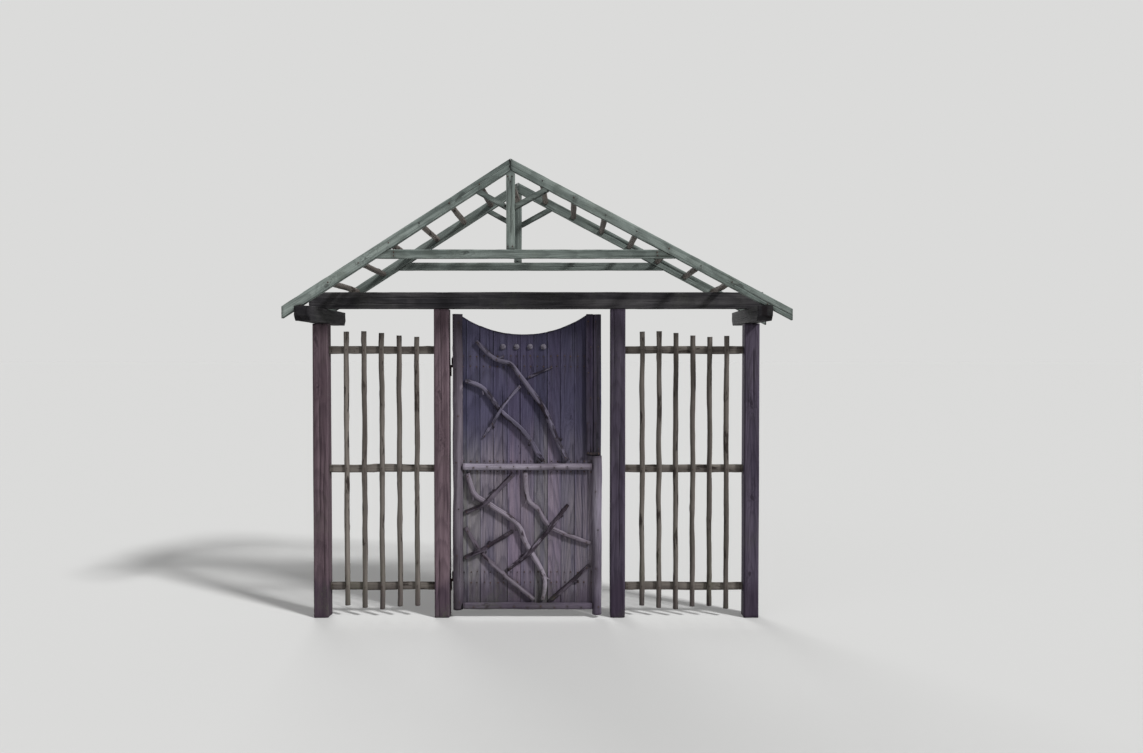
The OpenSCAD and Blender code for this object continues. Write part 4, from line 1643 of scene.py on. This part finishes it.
@dataclass
class LeafBoarding:
    """Boards, laths, ledges, stiles, rails and pegs of the leaf."""

    shop: Workshop
    board: Hewing = Hewing(
        arris=1.2 * MM, step=16 * MM, cell=9 * MM, bow=1.4 * MM, ridge=0.7 * MM, nibble=1.1 * MM, cracks=1,
        crack_depth=5 * MM, crack_half=0.9 * MM, ragged_end=5 * MM, pith=1.2, swell=1.4 * MM,
    )
    ledge: Hewing = Hewing(arris=3 * MM, cracks=1, crack_depth=6 * MM, pith=0.8)
    turning: PoleTurning = PoleTurning(sides=24, step=9 * MM, knot_gap=0.13)
    straying: Straying = Straying(0.12, 1.2 * MM, (0.92, 0.99), loose_ends=True)
    # Darkness of each board from foot to top: its own tone, with painted shade darkening the tops, most on
    # the right under the roof.
    board_shades: tuple[Shade, ...] = (
        Shade((0.1, 0.15, 0.0, 0.35, 0.4), 0.0), Shade((0.1, 0.15, 0.0, 0.1, 0.2), 0.2),
        Shade((0.3, 0.25, 0.0, 0.0, 0.2), 0.5), Shade((0.65, 0.35, 0.05, 0.1, 0.25), 0.5),
        Shade((0.6, 0.3, 0.0, 0.05, 0.3), 1.0), Shade((0.5, 0.3, 0.0, 0.1, 0.35), 0.75),
        Shade((0.4, 0.3, 0.1, 0.45, 0.75), 0.2), Shade((0.3, 0.45, 0.0, 0.6, 0.75), 0.9),
        Shade((0.4, 0.5, 0.1, 0.65, 0.85), 0.4), Shade((0.35, 0.6, 0.65, 1.0, 0.95), 0.6),
        Shade((0.0, 0.2, 0.25, 0.9, 1.0), 0.6),
    )
    lath_shades: tuple[Shade, ...] = (Shade((0.2,), 0.0), Shade((0.2,), 1.0))
    # The stile is darker at its foot, and with painted shade at its top.
    stile: Shade = Shade((0.9, 1.0, 0.95, 0.4, 0.15, 0.2, 0.3, 0.3, 0.6, 1.15, 1.4), 0.0)
    log: Shade = Shade((0.3, 0.4, 0.9, 0.95, 0.45, 0.1, 0.1, 0.7, 1.0), 0.0)
    mid_rail: Shade = Shade((0.05, 0.2, 0.4, 0.25, 0.95, 0.6, 0.95), 0.0)
    foot_rail: Shade = Shade((0.3, 0.5, 0.6, 0.9, 0.5, 0.2, 0.2), 0.0)

    def build(self) -> None:
        """Makes each piece of the leaf apart from its branches and iron."""
        finishes = self.shop.finishes
        self.squared("leaf_boards", Z, self.board, finishes.boards, "leaf_board", 500, self.board_shades)
        self.squared("latch_stile", Z, self.ledge, finishes.laths, "leaf_stile", 540, self.lath_shades)
        self.squared("back_ledges", X, self.ledge, finishes.ledges, "leaf_board", 560, (None, None, None))
        self.half_round("hinge_stile", finishes.stile, "leaf_stile", 600, self.stile)
        self.half_round("latch_log", finishes.log, "leaf_log", 610, self.log)
        self.half_round("mid_rail", finishes.mid_rail, "leaf_stile", 620, self.mid_rail)
        self.half_round("bottom_rail", finishes.foot_rail, "leaf_stile", 630, self.foot_rail)
        boxes = enumerate(cad_boxes("moon_pegs"))
        pegs = joined([PegTurning().mesh(*box, 640 + i) for i, box in boxes], "moon_pegs")
        self.shop.piece("sawn_moon_pegs", pegs, Body.LEAF, finishes.peg, "peg", ["moon_pegs"])

    def squared(
        self, node: str, along: Vector, hewing: Hewing, finish: WeatheredWood, slot: str, seed: int,
        shades: tuple[Shade | None, ...],
    ) -> None:
        """Wears the flat solids of one node and adds them as a piece.

        Args:
            node: CAD node that they stand for.
            along: Direction of the grain.
            hewing: How they are worn.
            finish: Finish that they are dressed in.
            slot: Material slot of the record.
            seed: Number that picks their cracks and waves.
            shades: Shade of each solid, from left to right, or None for a chance one.
        """
        solids = zip(cad_solids(node), shades)
        meshes = [hewing.mesh(solid, along, seed + 3 * i, shade) for i, (solid, shade) in enumerate(solids)]
        self.shop.piece(f"weathered_{node}", joined(meshes, node), Body.LEAF, finish, slot, [node])

    def half_round(self, node: str, finish: WeatheredWood, slot: str, seed: int, shade: Shade) -> None:
        """Makes a pole with its back flattened on the boards.

        Args:
            node: CAD node that it stands for.
            finish: Finish that it is dressed in.
            slot: Material slot of the record.
            seed: Number that picks its lumps and bends.
            shade: Shade of the wood.
        """
        pole = self.straying.pole(*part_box(node), seed, 1, shade)
        mesh = self.turning.mesh(node, [pole], self.shop.finishes.material(finish))
        self.shop.piece(f"rustic_{node}", mesh, Body.LEAF, finish, slot, [node])


@dataclass(frozen=True)
class PegTurning:
    """Makes the sawn round pegs with their domed, checked ends."""

    around: int = 48
    checks: int = 7
    check_half: float = 1.0 * MM
    check_depth: float = 2.2 * MM
    wobble: float = 0.5 * MM
    profile: tuple[Pair, ...] = (
        (1.0, 0.0), (1.0, 0.16), (0.995, 0.3), (0.965, 0.42), (0.9, 0.56), (0.8, 0.7), (0.66, 0.82),
        (0.5, 0.9), (0.32, 0.96), (0.14, 0.99),
    )

    def mesh(self, low: Vector, high: Vector, seed: int) -> Mesh:
        """One peg that fills a box and faces the front.

        Args:
            low: Lowest corner of the box.
            high: Highest corner of the box.
            seed: Number that picks its checks.

        Returns:
            The peg's mesh, with its grain and tone stored.
        """
        rng = np.random.default_rng(seed)
        middle, radius, depth = (low + high) / 2, (high.x - low.x) / 2, high.y - low.y
        checks = list(zip(rng.uniform(-math.pi, math.pi, self.checks), rng.uniform(0.25, 0.75, self.checks)))
        checks[0] = (checks[0][0], 0.0)
        turns = np.arange(self.around) * 2 * math.pi / self.around
        places, tones = [], []
        for share, rise in self.profile:
            for turn in turns:
                near = [abs(math.remainder(turn - at, 2 * math.pi)) for at, inner in checks if share > inner]
                aside = min(near, default=math.pi) * radius * share
                opened = max(0.0, 1 - aside / (self.check_half + 0.8 * MM * share)) * min(1.0, 2.5 * rise)
                reach = radius * share - self.wobble * (rise > 0) * (1 + math.sin(3 * turn + seed))
                front = high.y - depth * rise + self.check_depth * opened * (1 - 0.5 * share)
                x, z = middle.x + reach * math.cos(turn), middle.z + reach * math.sin(turn)
                places.append((x, min(front, high.y), z))
                tones.append((1 - rise, opened, 0.3 + 0.5 * rng.uniform()))
        places.append((middle.x, low.y + 0.4 * MM, middle.z))
        tones.append((0.0, 0.35, 0.4))
        n, rings = self.around, len(self.profile)
        faces = [
            (r * n + k, (r + 1) * n + k, (r + 1) * n + (k + 1) % n, r * n + (k + 1) % n)
            for r in range(rings - 1) for k in range(n)
        ]
        faces += [((rings - 1) * n + k, rings * n, (rings - 1) * n + (k + 1) % n) for k in range(n)]
        faces.append(tuple(range(n)))
        made = bpy.data.meshes.new("peg")
        made.from_pydata(places, [], faces)
        spots = np.array(places)
        pith = np.array([middle.x, middle.z]) + rng.uniform(-0.22, 0.22, 2) * radius
        across, along = spots[:, (0, 2)] - pith, spots[:, 1] + seed
        set_attribute(made, "grain", np.column_stack([across, along]))
        set_attribute(made, "tone", np.array(tones))
        return made


class Bark(Enum):
    """State of a branch's surface, where SHADED is peeled wood in a copy of its finish darkened with painted
    shade.
    """

    PEELED = "peeled"
    # Painted shade: peeled wood darkened for the shade it lies in.
    SHADED = "shaded"
    KEPT = "kept"


@dataclass
class Bough:
    """Path of one branch in millimetres, the stubs of its side twigs, its state and how dark it is, which
    holds its own tone and painted shade.

    A point holds the distance from the leaf's hinge edge, the height, the lift off the boards and the radius.
    A stub holds the number of its point, its side and its length.
    """

    points: list[tuple[float, float, float, float]]
    stubs: list[tuple[int, int, float]]
    bark: Bark
    dark: float


BOUGHS = {
    "upper_branch_a": Bough(
        [
            (145, 1725, 0, 11), (207, 1662, 0, 13), (270, 1612, 0, 14), (357, 1581, 0, 15),
            (414, 1512, 0, 15), (476, 1431, 0, 16), (551, 1325, 0, 16), (588, 1256, 0, 16),
            (638, 1125, 0, 17), (708, 982, 0, 17),
        ],
        [(2, -1, 44), (5, 1, 38), (8, -1, 42)], Bark.SHADED, 0.7,
    ),
    "upper_branch_b": Bough(
        [
            (76, 1478, 0, 13), (186, 1431, 0, 14), (295, 1291, 0, 14), (407, 1194, 0, 15),
            (479, 1109, 0, 15), (532, 1020, 0, 15), (560, 982, 0, 15),
        ],
        [(1, 1, 38), (4, 1, 34)], Bark.SHADED, 0.2,
    ),
    "upper_branch_c": Bough(
        [
            (420, 1447, 0, 10), (352, 1372, 0, 10), (316, 1326, 27, 9), (275, 1260, 27, 9),
            (246, 1212, 0, 9), (186, 1125, 0, 7),
        ],
        [(4, -1, 28)], Bark.SHADED, 0.2,
    ),
    "upper_twig": Bough(
        [(466, 1499, 0, 8), (536, 1530, 0, 7), (618, 1562, 0, 5)], [], Bark.SHADED, 0.9,
    ),
    "lower_branch_a": Bough(
        [
            (86, 902, 0, 16), (130, 775, 0, 17), (226, 706, 0, 17), (395, 588, 0, 17),
            (451, 469, 0, 16), (564, 256, 0, 15), (556, 112, 0, 14),
        ],
        [(1, 1, 40), (3, 1, 44), (5, -1, 40)], Bark.PEELED, 0.6,
    ),
    "lower_branch_b": Bough(
        [
            (374, 898, 0, 14), (278, 797, 0, 14), (240, 757, 32, 14), (186, 708, 32, 13),
            (140, 684, 0, 13), (74, 657, 0, 12),
        ],
        [(1, 1, 34)], Bark.KEPT, 0.7,
    ),
    "lower_branch_c": Bough(
        [
            (449, 912, 0, 14), (464, 746, 0, 14), (532, 675, 0, 14), (588, 581, 0, 14),
            (688, 525, 0, 13), (852, 464, 0, 12),
        ],
        [(1, 1, 38), (4, 1, 34)], Bark.PEELED, 0.45,
    ),
    "lower_branch_d": Bough(
        [(76, 566, 0, 12), (170, 412, 0, 13), (312, 272, 0, 13), (500, 114, 0, 13)],
        [(1, -1, 36), (2, 1, 34)], Bark.PEELED, 1.0,
    ),
    "lower_branch_e": Bough(
        [
            (72, 375, 0, 12), (118, 396, 0, 12), (146, 411, 25, 12), (186, 431, 25, 12),
            (220, 449, 0, 12), (367, 538, 0, 9),
        ],
        [(4, -1, 30)], Bark.KEPT, 0.6,
    ),
    "lower_branch_f": Bough(
        [
            (338, 300, 0, 11), (430, 370, 0, 12), (456, 395, 30, 12), (500, 440, 30, 12),
            (546, 491, 12, 12), (590, 546, 27, 12), (628, 594, 27, 12), (658, 634, 0, 11),
            (714, 706, 0, 9),
        ],
        [(1, -1, 30), (7, 1, 26)], Bark.KEPT, 0.0,
    ),
    "lower_branch_g": Bough(
        [(612, 112, 0, 13), (745, 231, 0, 13), (848, 328, 0, 12)], [(1, 1, 34)], Bark.KEPT, 0.85,
    ),
}


@dataclass
class Branchwork:
    """Bare branches nailed to the leaf's face."""

    shop: Workshop
    boughs: dict[str, Bough] = field(default_factory=lambda: BOUGHS)
    board_face: float = -25 * MM
    seat: float = 0.75
    stub_lean: float = 0.9
    stub_steps: tuple[float, ...] = (0, 0.4, 0.75, 1)
    stub_girths: tuple[float, ...] = (0.62, 0.5, 0.43, 0.36)
    turning: PoleTurning = PoleTurning(
        sides=28, step=5 * MM, lump=2.8 * MM, ridge=0.9 * MM, knot_height=3 * MM, knot_gap=0.1, bark=1.4 * MM,
    )

    def build(self) -> None:
        """Makes each branch with its twig stubs."""
        finishes = self.shop.finishes
        kinds = {
            Bark.PEELED: finishes.branch,
            Bark.SHADED: finishes.shaded_branch,
            Bark.KEPT: finishes.barked_branch,
        }
        for index, (node, bough) in enumerate(self.boughs.items()):
            seed = 700 + 11 * index
            finish = kinds[bough.bark]
            main = self.branch(bough, seed)
            stubs = [self.stub(main, seed + i, *stub) for i, stub in enumerate(bough.stubs, 1)]
            turning = replace(self.turning, peeled=finish.peeled)
            mesh = turning.mesh(node, [main, *stubs], finishes.material(finish))
            self.shop.piece(f"bark_{node}", mesh, Body.LEAF, finish, "bare_branch", [node])

    def branch(self, bough: Bough, seed: int) -> Pole:
        """Pole along a path, seated on the boards or lifted over what it crosses.

        Args:
            bough: The path.
            seed: Number that picks its lumps.

        Returns:
            The pole.
        """
        line, girths, planes = [], [], []
        for x, z, lift, radius in bough.points:
            plane = self.board_face - lift * MM
            line.append(Vector((LEAF_EDGE + x * MM, plane - self.seat * radius * MM, z * MM)))
            girths.append(radius * MM)
            planes.append(plane)
        return Pole(line, girths, seed, bough.dark, high=planes)

    def stub(self, main: Pole, seed: int, at: int, turn: int, length: float) -> Pole:
        """Short end of a side twig that was cut off.

        Args:
            main: The branch that it grows from.
            seed: Number that picks its lumps.
            at: Number of the branch's point.
            turn: 1 or -1 for its side.
            length: Length in millimetres.

        Returns:
            The stub as a pole.
        """
        ahead = (main.line[at + 1] - main.line[at - 1]).normalized()
        out = (turn * Y.cross(ahead) + self.stub_lean * ahead).normalized() * length * MM
        line = [main.line[at] + out * share for share in self.stub_steps]
        girths = [main.girth[at] * share for share in self.stub_girths]
        return Pole(line, girths, seed, main.dark, high=self.board_face)


@dataclass
class Ironwork:
    """Strap hinges, pintles and latch bar, forged and rusted."""

    shop: Workshop
    forging: Hewing = Hewing(
        arris=0.9 * MM, step=10 * MM, cell=8 * MM, bow=0.3 * MM, ridge=0.12 * MM, nibble=0.4 * MM, cracks=0,
    )

    def build(self) -> None:
        """Forges each iron piece."""
        finishes = self.shop.finishes
        pieces = (
            ("strap_hinges", X, Body.LEAF, finishes.iron),
            ("latch_bar", X, Body.LEAF, finishes.latch_iron),
            ("hinge_pintles", Z, Body.ARBOUR, finishes.iron),
        )
        for seed, (node, along, body, finish) in enumerate(pieces, 90):
            solids = enumerate(cad_solids(node))
            meshes = [self.forging.mesh(solid, along, 9 * seed + i) for i, solid in solids]
            self.shop.piece(f"forged_{node}", joined(meshes, node), body, finish, "iron", [node])


@dataclass
class NailPlan:
    """Where the gate's joints are nailed and bolted."""

    shop: Workshop
    boughs: dict[str, Bough]
    board_nail: float = 8.5 * MM
    thin_nail: float = 6.5 * MM
    clench: float = 5 * MM
    bolt: float = 15 * MM
    stand_off: float = 1.0
    off_mark: float = 2.5 * MM
    board_pair: Pair = (-19 * MM, 19 * MM)
    ledge_rows: Pair = (-0.36, 0.36)
    clench_shift: Pair = (1 * MM, -2 * MM)
    first_nail: float = 50 * MM
    stile_gap: float = 290 * MM
    log_gap: float = 240 * MM
    pole_zigzag: float = 7 * MM
    lath_zigzag: float = 8 * MM
    rail_zigzag: float = 4 * MM
    stake_zigzag: float = 3 * MM
    lath_nails: tuple[float, ...] = tuple(45 * MM + 158 * MM * i for i in range(6))
    branch_inset: float = 0.14
    strap_bolts: tuple[float, ...] = (0.14, 0.32, 0.52, 0.72, 0.93)
    bar_nails: Pair = (0.13, 0.87)
    rail_end: float = 16 * MM
    rail_pair: Pair = (-9 * MM, 9 * MM)
    tie_end: float = 110 * MM
    tie_pair: Pair = (-10 * MM, 10 * MM)
    king_pair: Pair = (-12 * MM, 12 * MM)
    king_ends: Pair = (18 * MM, 40 * MM)
    arm_nails: tuple[Pair, ...] = ((-20 * MM, 4 * MM), (22 * MM, 8 * MM))
    plate_bolts: Pair = (14 * MM, 40 * MM)
    plate_inset: float = 9 * MM
    plate_gap: float = 20 * MM
    chance: np.random.Generator = field(default_factory=lambda: np.random.default_rng(31))

    def build(self) -> None:
        """Nails the leaf together, and then the arbour."""
        self.nail(Body.LEAF, (self.boards, self.edges, self.branches, self.iron), 5)
        self.nail(Body.ARBOUR, (self.trellis, self.roof, self.pintles), 9)

    def nail(self, body: Body, joints: tuple[Callable[[], None], ...], seed: int) -> None:
        """Nails one body together.

        Args:
            body: The body.
            joints: Methods that drive its nails, in their order.
            seed: Number that picks how the heads lean.
        """
        self.nailing = Nailing(self.shop, body)
        for joint in joints:
            joint()
        self.nailing.finish(f"{body.value}_nails", "iron", seed)

    def front(self, x: float, z: float, width: float, *onto: str) -> bool:
        """Drives a nail from the front, a little off its mark."""
        miss = self.chance.uniform(-self.off_mark, self.off_mark, 2)
        return self.nailing.drive(Vector((x + miss[0], -self.stand_off, z + miss[1])), Y, width, onto)

    def back(self, x: float, z: float, width: float, *onto: str) -> bool:
        """Drives a nail from the back, a little off its mark."""
        miss = self.chance.uniform(-self.off_mark, self.off_mark, 2)
        return self.nailing.drive(Vector((x + miss[0], self.stand_off, z + miss[1])), -Y, width, onto)

    def board_middles(self) -> list[float]:
        """Places of the boards' middles along X."""
        (low, high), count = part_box("leaf_boards"), len(cad_solids("leaf_boards"))
        return [low.x + (high.x - low.x) * (i + 0.5) / count for i in range(count)]

    def boards(self) -> None:
        """Two nails a board above and below each ledge's middle, clenched over on the back."""
        over, down = self.clench_shift
        for low, high in cad_boxes("back_ledges"):
            for x, rise, side in itertools.product(self.board_middles(), self.ledge_rows, self.board_pair):
                z = (low.z + high.z) / 2 + rise * (high.z - low.z)
                if self.front(x + side, z, self.board_nail, "leaf_boards"):
                    self.back(x + side + over, z + down, self.clench, "back_ledges")

    def edges(self) -> None:
        """Zigzag rows of nails along the stiles, the log and the rails."""
        for node, gap in (("hinge_stile", self.stile_gap), ("latch_log", self.log_gap)):
            low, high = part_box(node)
            for i in range(int((high.z - low.z) / gap) + 1):
                x = (low.x + high.x) / 2 + (-1) ** i * self.pole_zigzag
                self.front(x, low.z + self.first_nail + gap * i, self.board_nail, node)
        for low, high in cad_boxes("latch_stile"):
            for i, rise in enumerate(self.lath_nails):
                x = (low.x + high.x) / 2 + (-1) ** i * self.lath_zigzag
                self.front(x, low.z + rise, self.thin_nail, "latch_stile")
        for node in ("mid_rail", "bottom_rail"):
            low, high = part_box(node)
            for i, x in enumerate(self.board_middles()):
                z = (low.z + high.z) / 2 + (-1) ** i * self.rail_zigzag
                self.front(x, z, self.board_nail, node)

    def branches(self) -> None:
        """A nail at the ends of each branch and where it lies on the boards between."""
        for node, bough in self.boughs.items():
            last = len(bough.points) - 1
            for i, (x, z, lift, _) in enumerate(bough.points):
                if lift or 0 < i < last and i % 2:
                    continue
                inner = bough.points[1 if i == 0 else i - 1]
                share = self.branch_inset if i in (0, last) else 0.0
                spot = (x + share * (inner[0] - x), z + share * (inner[1] - z))
                self.front(LEAF_EDGE + spot[0] * MM, spot[1] * MM, self.thin_nail, node)

    def iron(self) -> None:
        """Bolts of the straps and the latch bar."""
        for low, high in cad_boxes("strap_hinges"):
            for share in self.strap_bolts:
                self.back(low.x + share * (high.x - low.x), (low.z + high.z) / 2, self.bolt, "strap_hinges")
        low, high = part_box("latch_bar")
        for share in self.bar_nails:
            self.front(low.x + share * (high.x - low.x), (low.z + high.z) / 2, self.board_nail, "latch_bar")

    def trellis(self) -> None:
        """A nail at each crossing of the split poles, and two at each end of a rail."""
        for side in ("left", "right"):
            stakes, rails = f"trellis_stakes_{side}", f"trellis_rails_{side}"
            middles = [(low.x + high.x) / 2 for low, high in cad_boxes(stakes)]
            for low, high in cad_boxes(rails):
                z = (low.z + high.z) / 2
                for i, x in enumerate(middles):
                    self.front(x, z + (-1) ** i * self.stake_zigzag, self.thin_nail, stakes)
                ends = (low.x + self.rail_end, high.x - self.rail_end)
                for x, rise in itertools.product(ends, self.rail_pair):
                    self.front(x, z + rise, self.thin_nail, rails)

    def roof(self) -> None:
        """Nails into the rungs' ends and through the trusses' joints."""
        faces = {"front": self.front, "rear": self.back}
        for low, high in (*cad_boxes("roof_rungs"), *cad_boxes("ridge_pole")):
            for row, drive in faces.items():
                onto = [f"{row}_{name}" for name in ("rafter_left", "rafter_right", "king_post")]
                drive((low.x + high.x) / 2, (low.z + high.z) / 2, self.board_nail, *onto)
        for row, drive in faces.items():
            self.truss(row, drive)

    def truss(self, row: str, drive: Callable[..., bool]) -> None:
        """Nails one truss's joints.

        Args:
            row: The truss, front or rear.
            drive: Method that drives a nail from its outer face.
        """
        tie_low, tie_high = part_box(f"{row}_collar_tie")
        king_low, king_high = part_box(f"{row}_king_post")
        middle = (king_low.x + king_high.x) / 2
        tie = (tie_low.z + tie_high.z) / 2
        ends = (tie_low.x + self.tie_end, tie_high.x - self.tie_end)
        spots = [(x, tie + rise) for x, rise in itertools.product(ends, self.tie_pair)]
        for z in (king_low.z + self.king_ends[0], king_high.z - self.king_ends[1]):
            spots += [(middle + side, z) for side in self.king_pair]
        for side in ("left", "right"):
            post_low, post_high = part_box(f"outer_post_{side}")
            arm_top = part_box(f"cross_arm_{side}")[1].z
            centre = (post_low.x + post_high.x) / 2
            spots += [(centre + shift, arm_top + rise) for shift, rise in self.arm_nails]
        names = ("collar_tie", "king_post", "rafter_left", "rafter_right", "struts")
        for x, z in spots:
            drive(x, z, self.board_nail, *(f"{row}_{name}" for name in names))

    def pintles(self) -> None:
        """Two bolts in each pintle's plate."""
        for low, high in cad_boxes("hinge_pintles"):
            for rise in self.plate_bolts:
                start = Vector((high.x + self.plate_gap, low.y + self.plate_inset, low.z + rise))
                self.nailing.drive(start, -X, self.board_nail, ["hinge_pintles"])


@dataclass
class Studio:
    """Floor, lights and camera."""

    eye: Triple = (0.8075, -5.5, 1.62)
    focal_pixels: float = 880.0
    frame_width: float = 1143.0
    sensor: float = 36.0
    tilt: float = 1.2
    floor_half: float = 400.0
    floor_colour: Colour = paint(208, 208, 207)
    backdrop: Colour = paint(219, 219, 218)
    ambient: float = 0.25
    suns: tuple[tuple[str, Triple, float, float], ...] = (
        ("Key sun", (-0.8, 0.6, -0.8), 3.35, 8),
        ("Fill sun", (0.7, 0.75, -0.25), 0.3, 60),
        ("Rear sun", (0.35, -1.0, -0.35), 1.8, 30),
    )

    def build(self) -> None:
        """Sets the stage round the gate."""
        self.camera()
        self.floor()
        self.lights()

    def camera(self) -> None:
        """Camera at the height and distance of the picture."""
        lens = bpy.data.cameras.new("Camera")
        lens.sensor_width = self.sensor
        lens.lens = self.sensor * self.focal_pixels / self.frame_width
        camera = placed("Camera", lens)
        camera.location = self.eye
        camera.rotation_euler = (math.radians(90 - self.tilt), 0, 0)
        bpy.context.scene.camera = camera

    def floor(self) -> None:
        """Plain pale floor."""
        half = self.floor_half
        mesh = bpy.data.meshes.new("Floor")
        rim = [(-half, -half, 0), (half, -half, 0), (half, half, 0), (-half, half, 0)]
        mesh.from_pydata(rim, [], [(0, 1, 2, 3)])
        shading = Shading("Pale floor", specular=0.0)
        shading.shader.inputs["Base Color"].default_value = self.floor_colour
        shading.shader.inputs["Roughness"].default_value = 1.0
        mesh.materials.append(shading.material)
        placed("Floor", mesh)

    def lights(self) -> None:
        """Soft suns and a pale world."""
        for title, aim, strength, spread in self.suns:
            light = bpy.data.lights.new(title, "SUN")
            light.energy = strength
            light.angle = math.radians(spread)
            sun = placed(title, light)
            sun.rotation_euler = Vector(aim).to_track_quat("-Z", "Y").to_euler()
        world = bpy.data.worlds.new("Studio")
        bpy.context.scene.world = world
        world.use_nodes = True
        world.node_tree.nodes.clear()
        w = Wiring(world.node_tree)
        rays = w.node("ShaderNodeLightPath").outputs
        mirrored = w.calc("MAXIMUM", rays["Is Glossy Ray"], rays["Is Transmission Ray"])
        seen = w.calc("MAXIMUM", rays["Is Camera Ray"], mirrored)
        ambient = w.node("ShaderNodeBackground", {0: (1, 1, 1, 1), 1: self.ambient}).outputs[0]
        backdrop = w.node("ShaderNodeBackground", {0: self.backdrop, 1: 1.0}).outputs[0]
        mixed = w.node("ShaderNodeMixShader", {0: seen, 1: ambient, 2: backdrop}).outputs[0]
        w.node("ShaderNodeOutputWorld", {0: mixed})


def main() -> None:
    """Builds the studio and every sub-assembly, then logs the number of triangles."""
    logging.basicConfig(level=logging.INFO, format="%(name)s %(message)s")
    bpy.context.scene.view_settings.view_transform = "Standard"
    Studio().build()
    shop = Workshop(Finishes())
    branchwork = Branchwork(shop)
    assemblies = (
        SquaredTimbers(shop), RoundTimbers(shop), LeafBoarding(shop), branchwork, Ironwork(shop),
        NailPlan(shop, branchwork.boughs),
    )
    for assembly in assemblies:
        assembly.build()
    LOG.info("%d triangles in all", shop.triangles)
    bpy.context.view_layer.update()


if __name__ == "__main__":
    main()
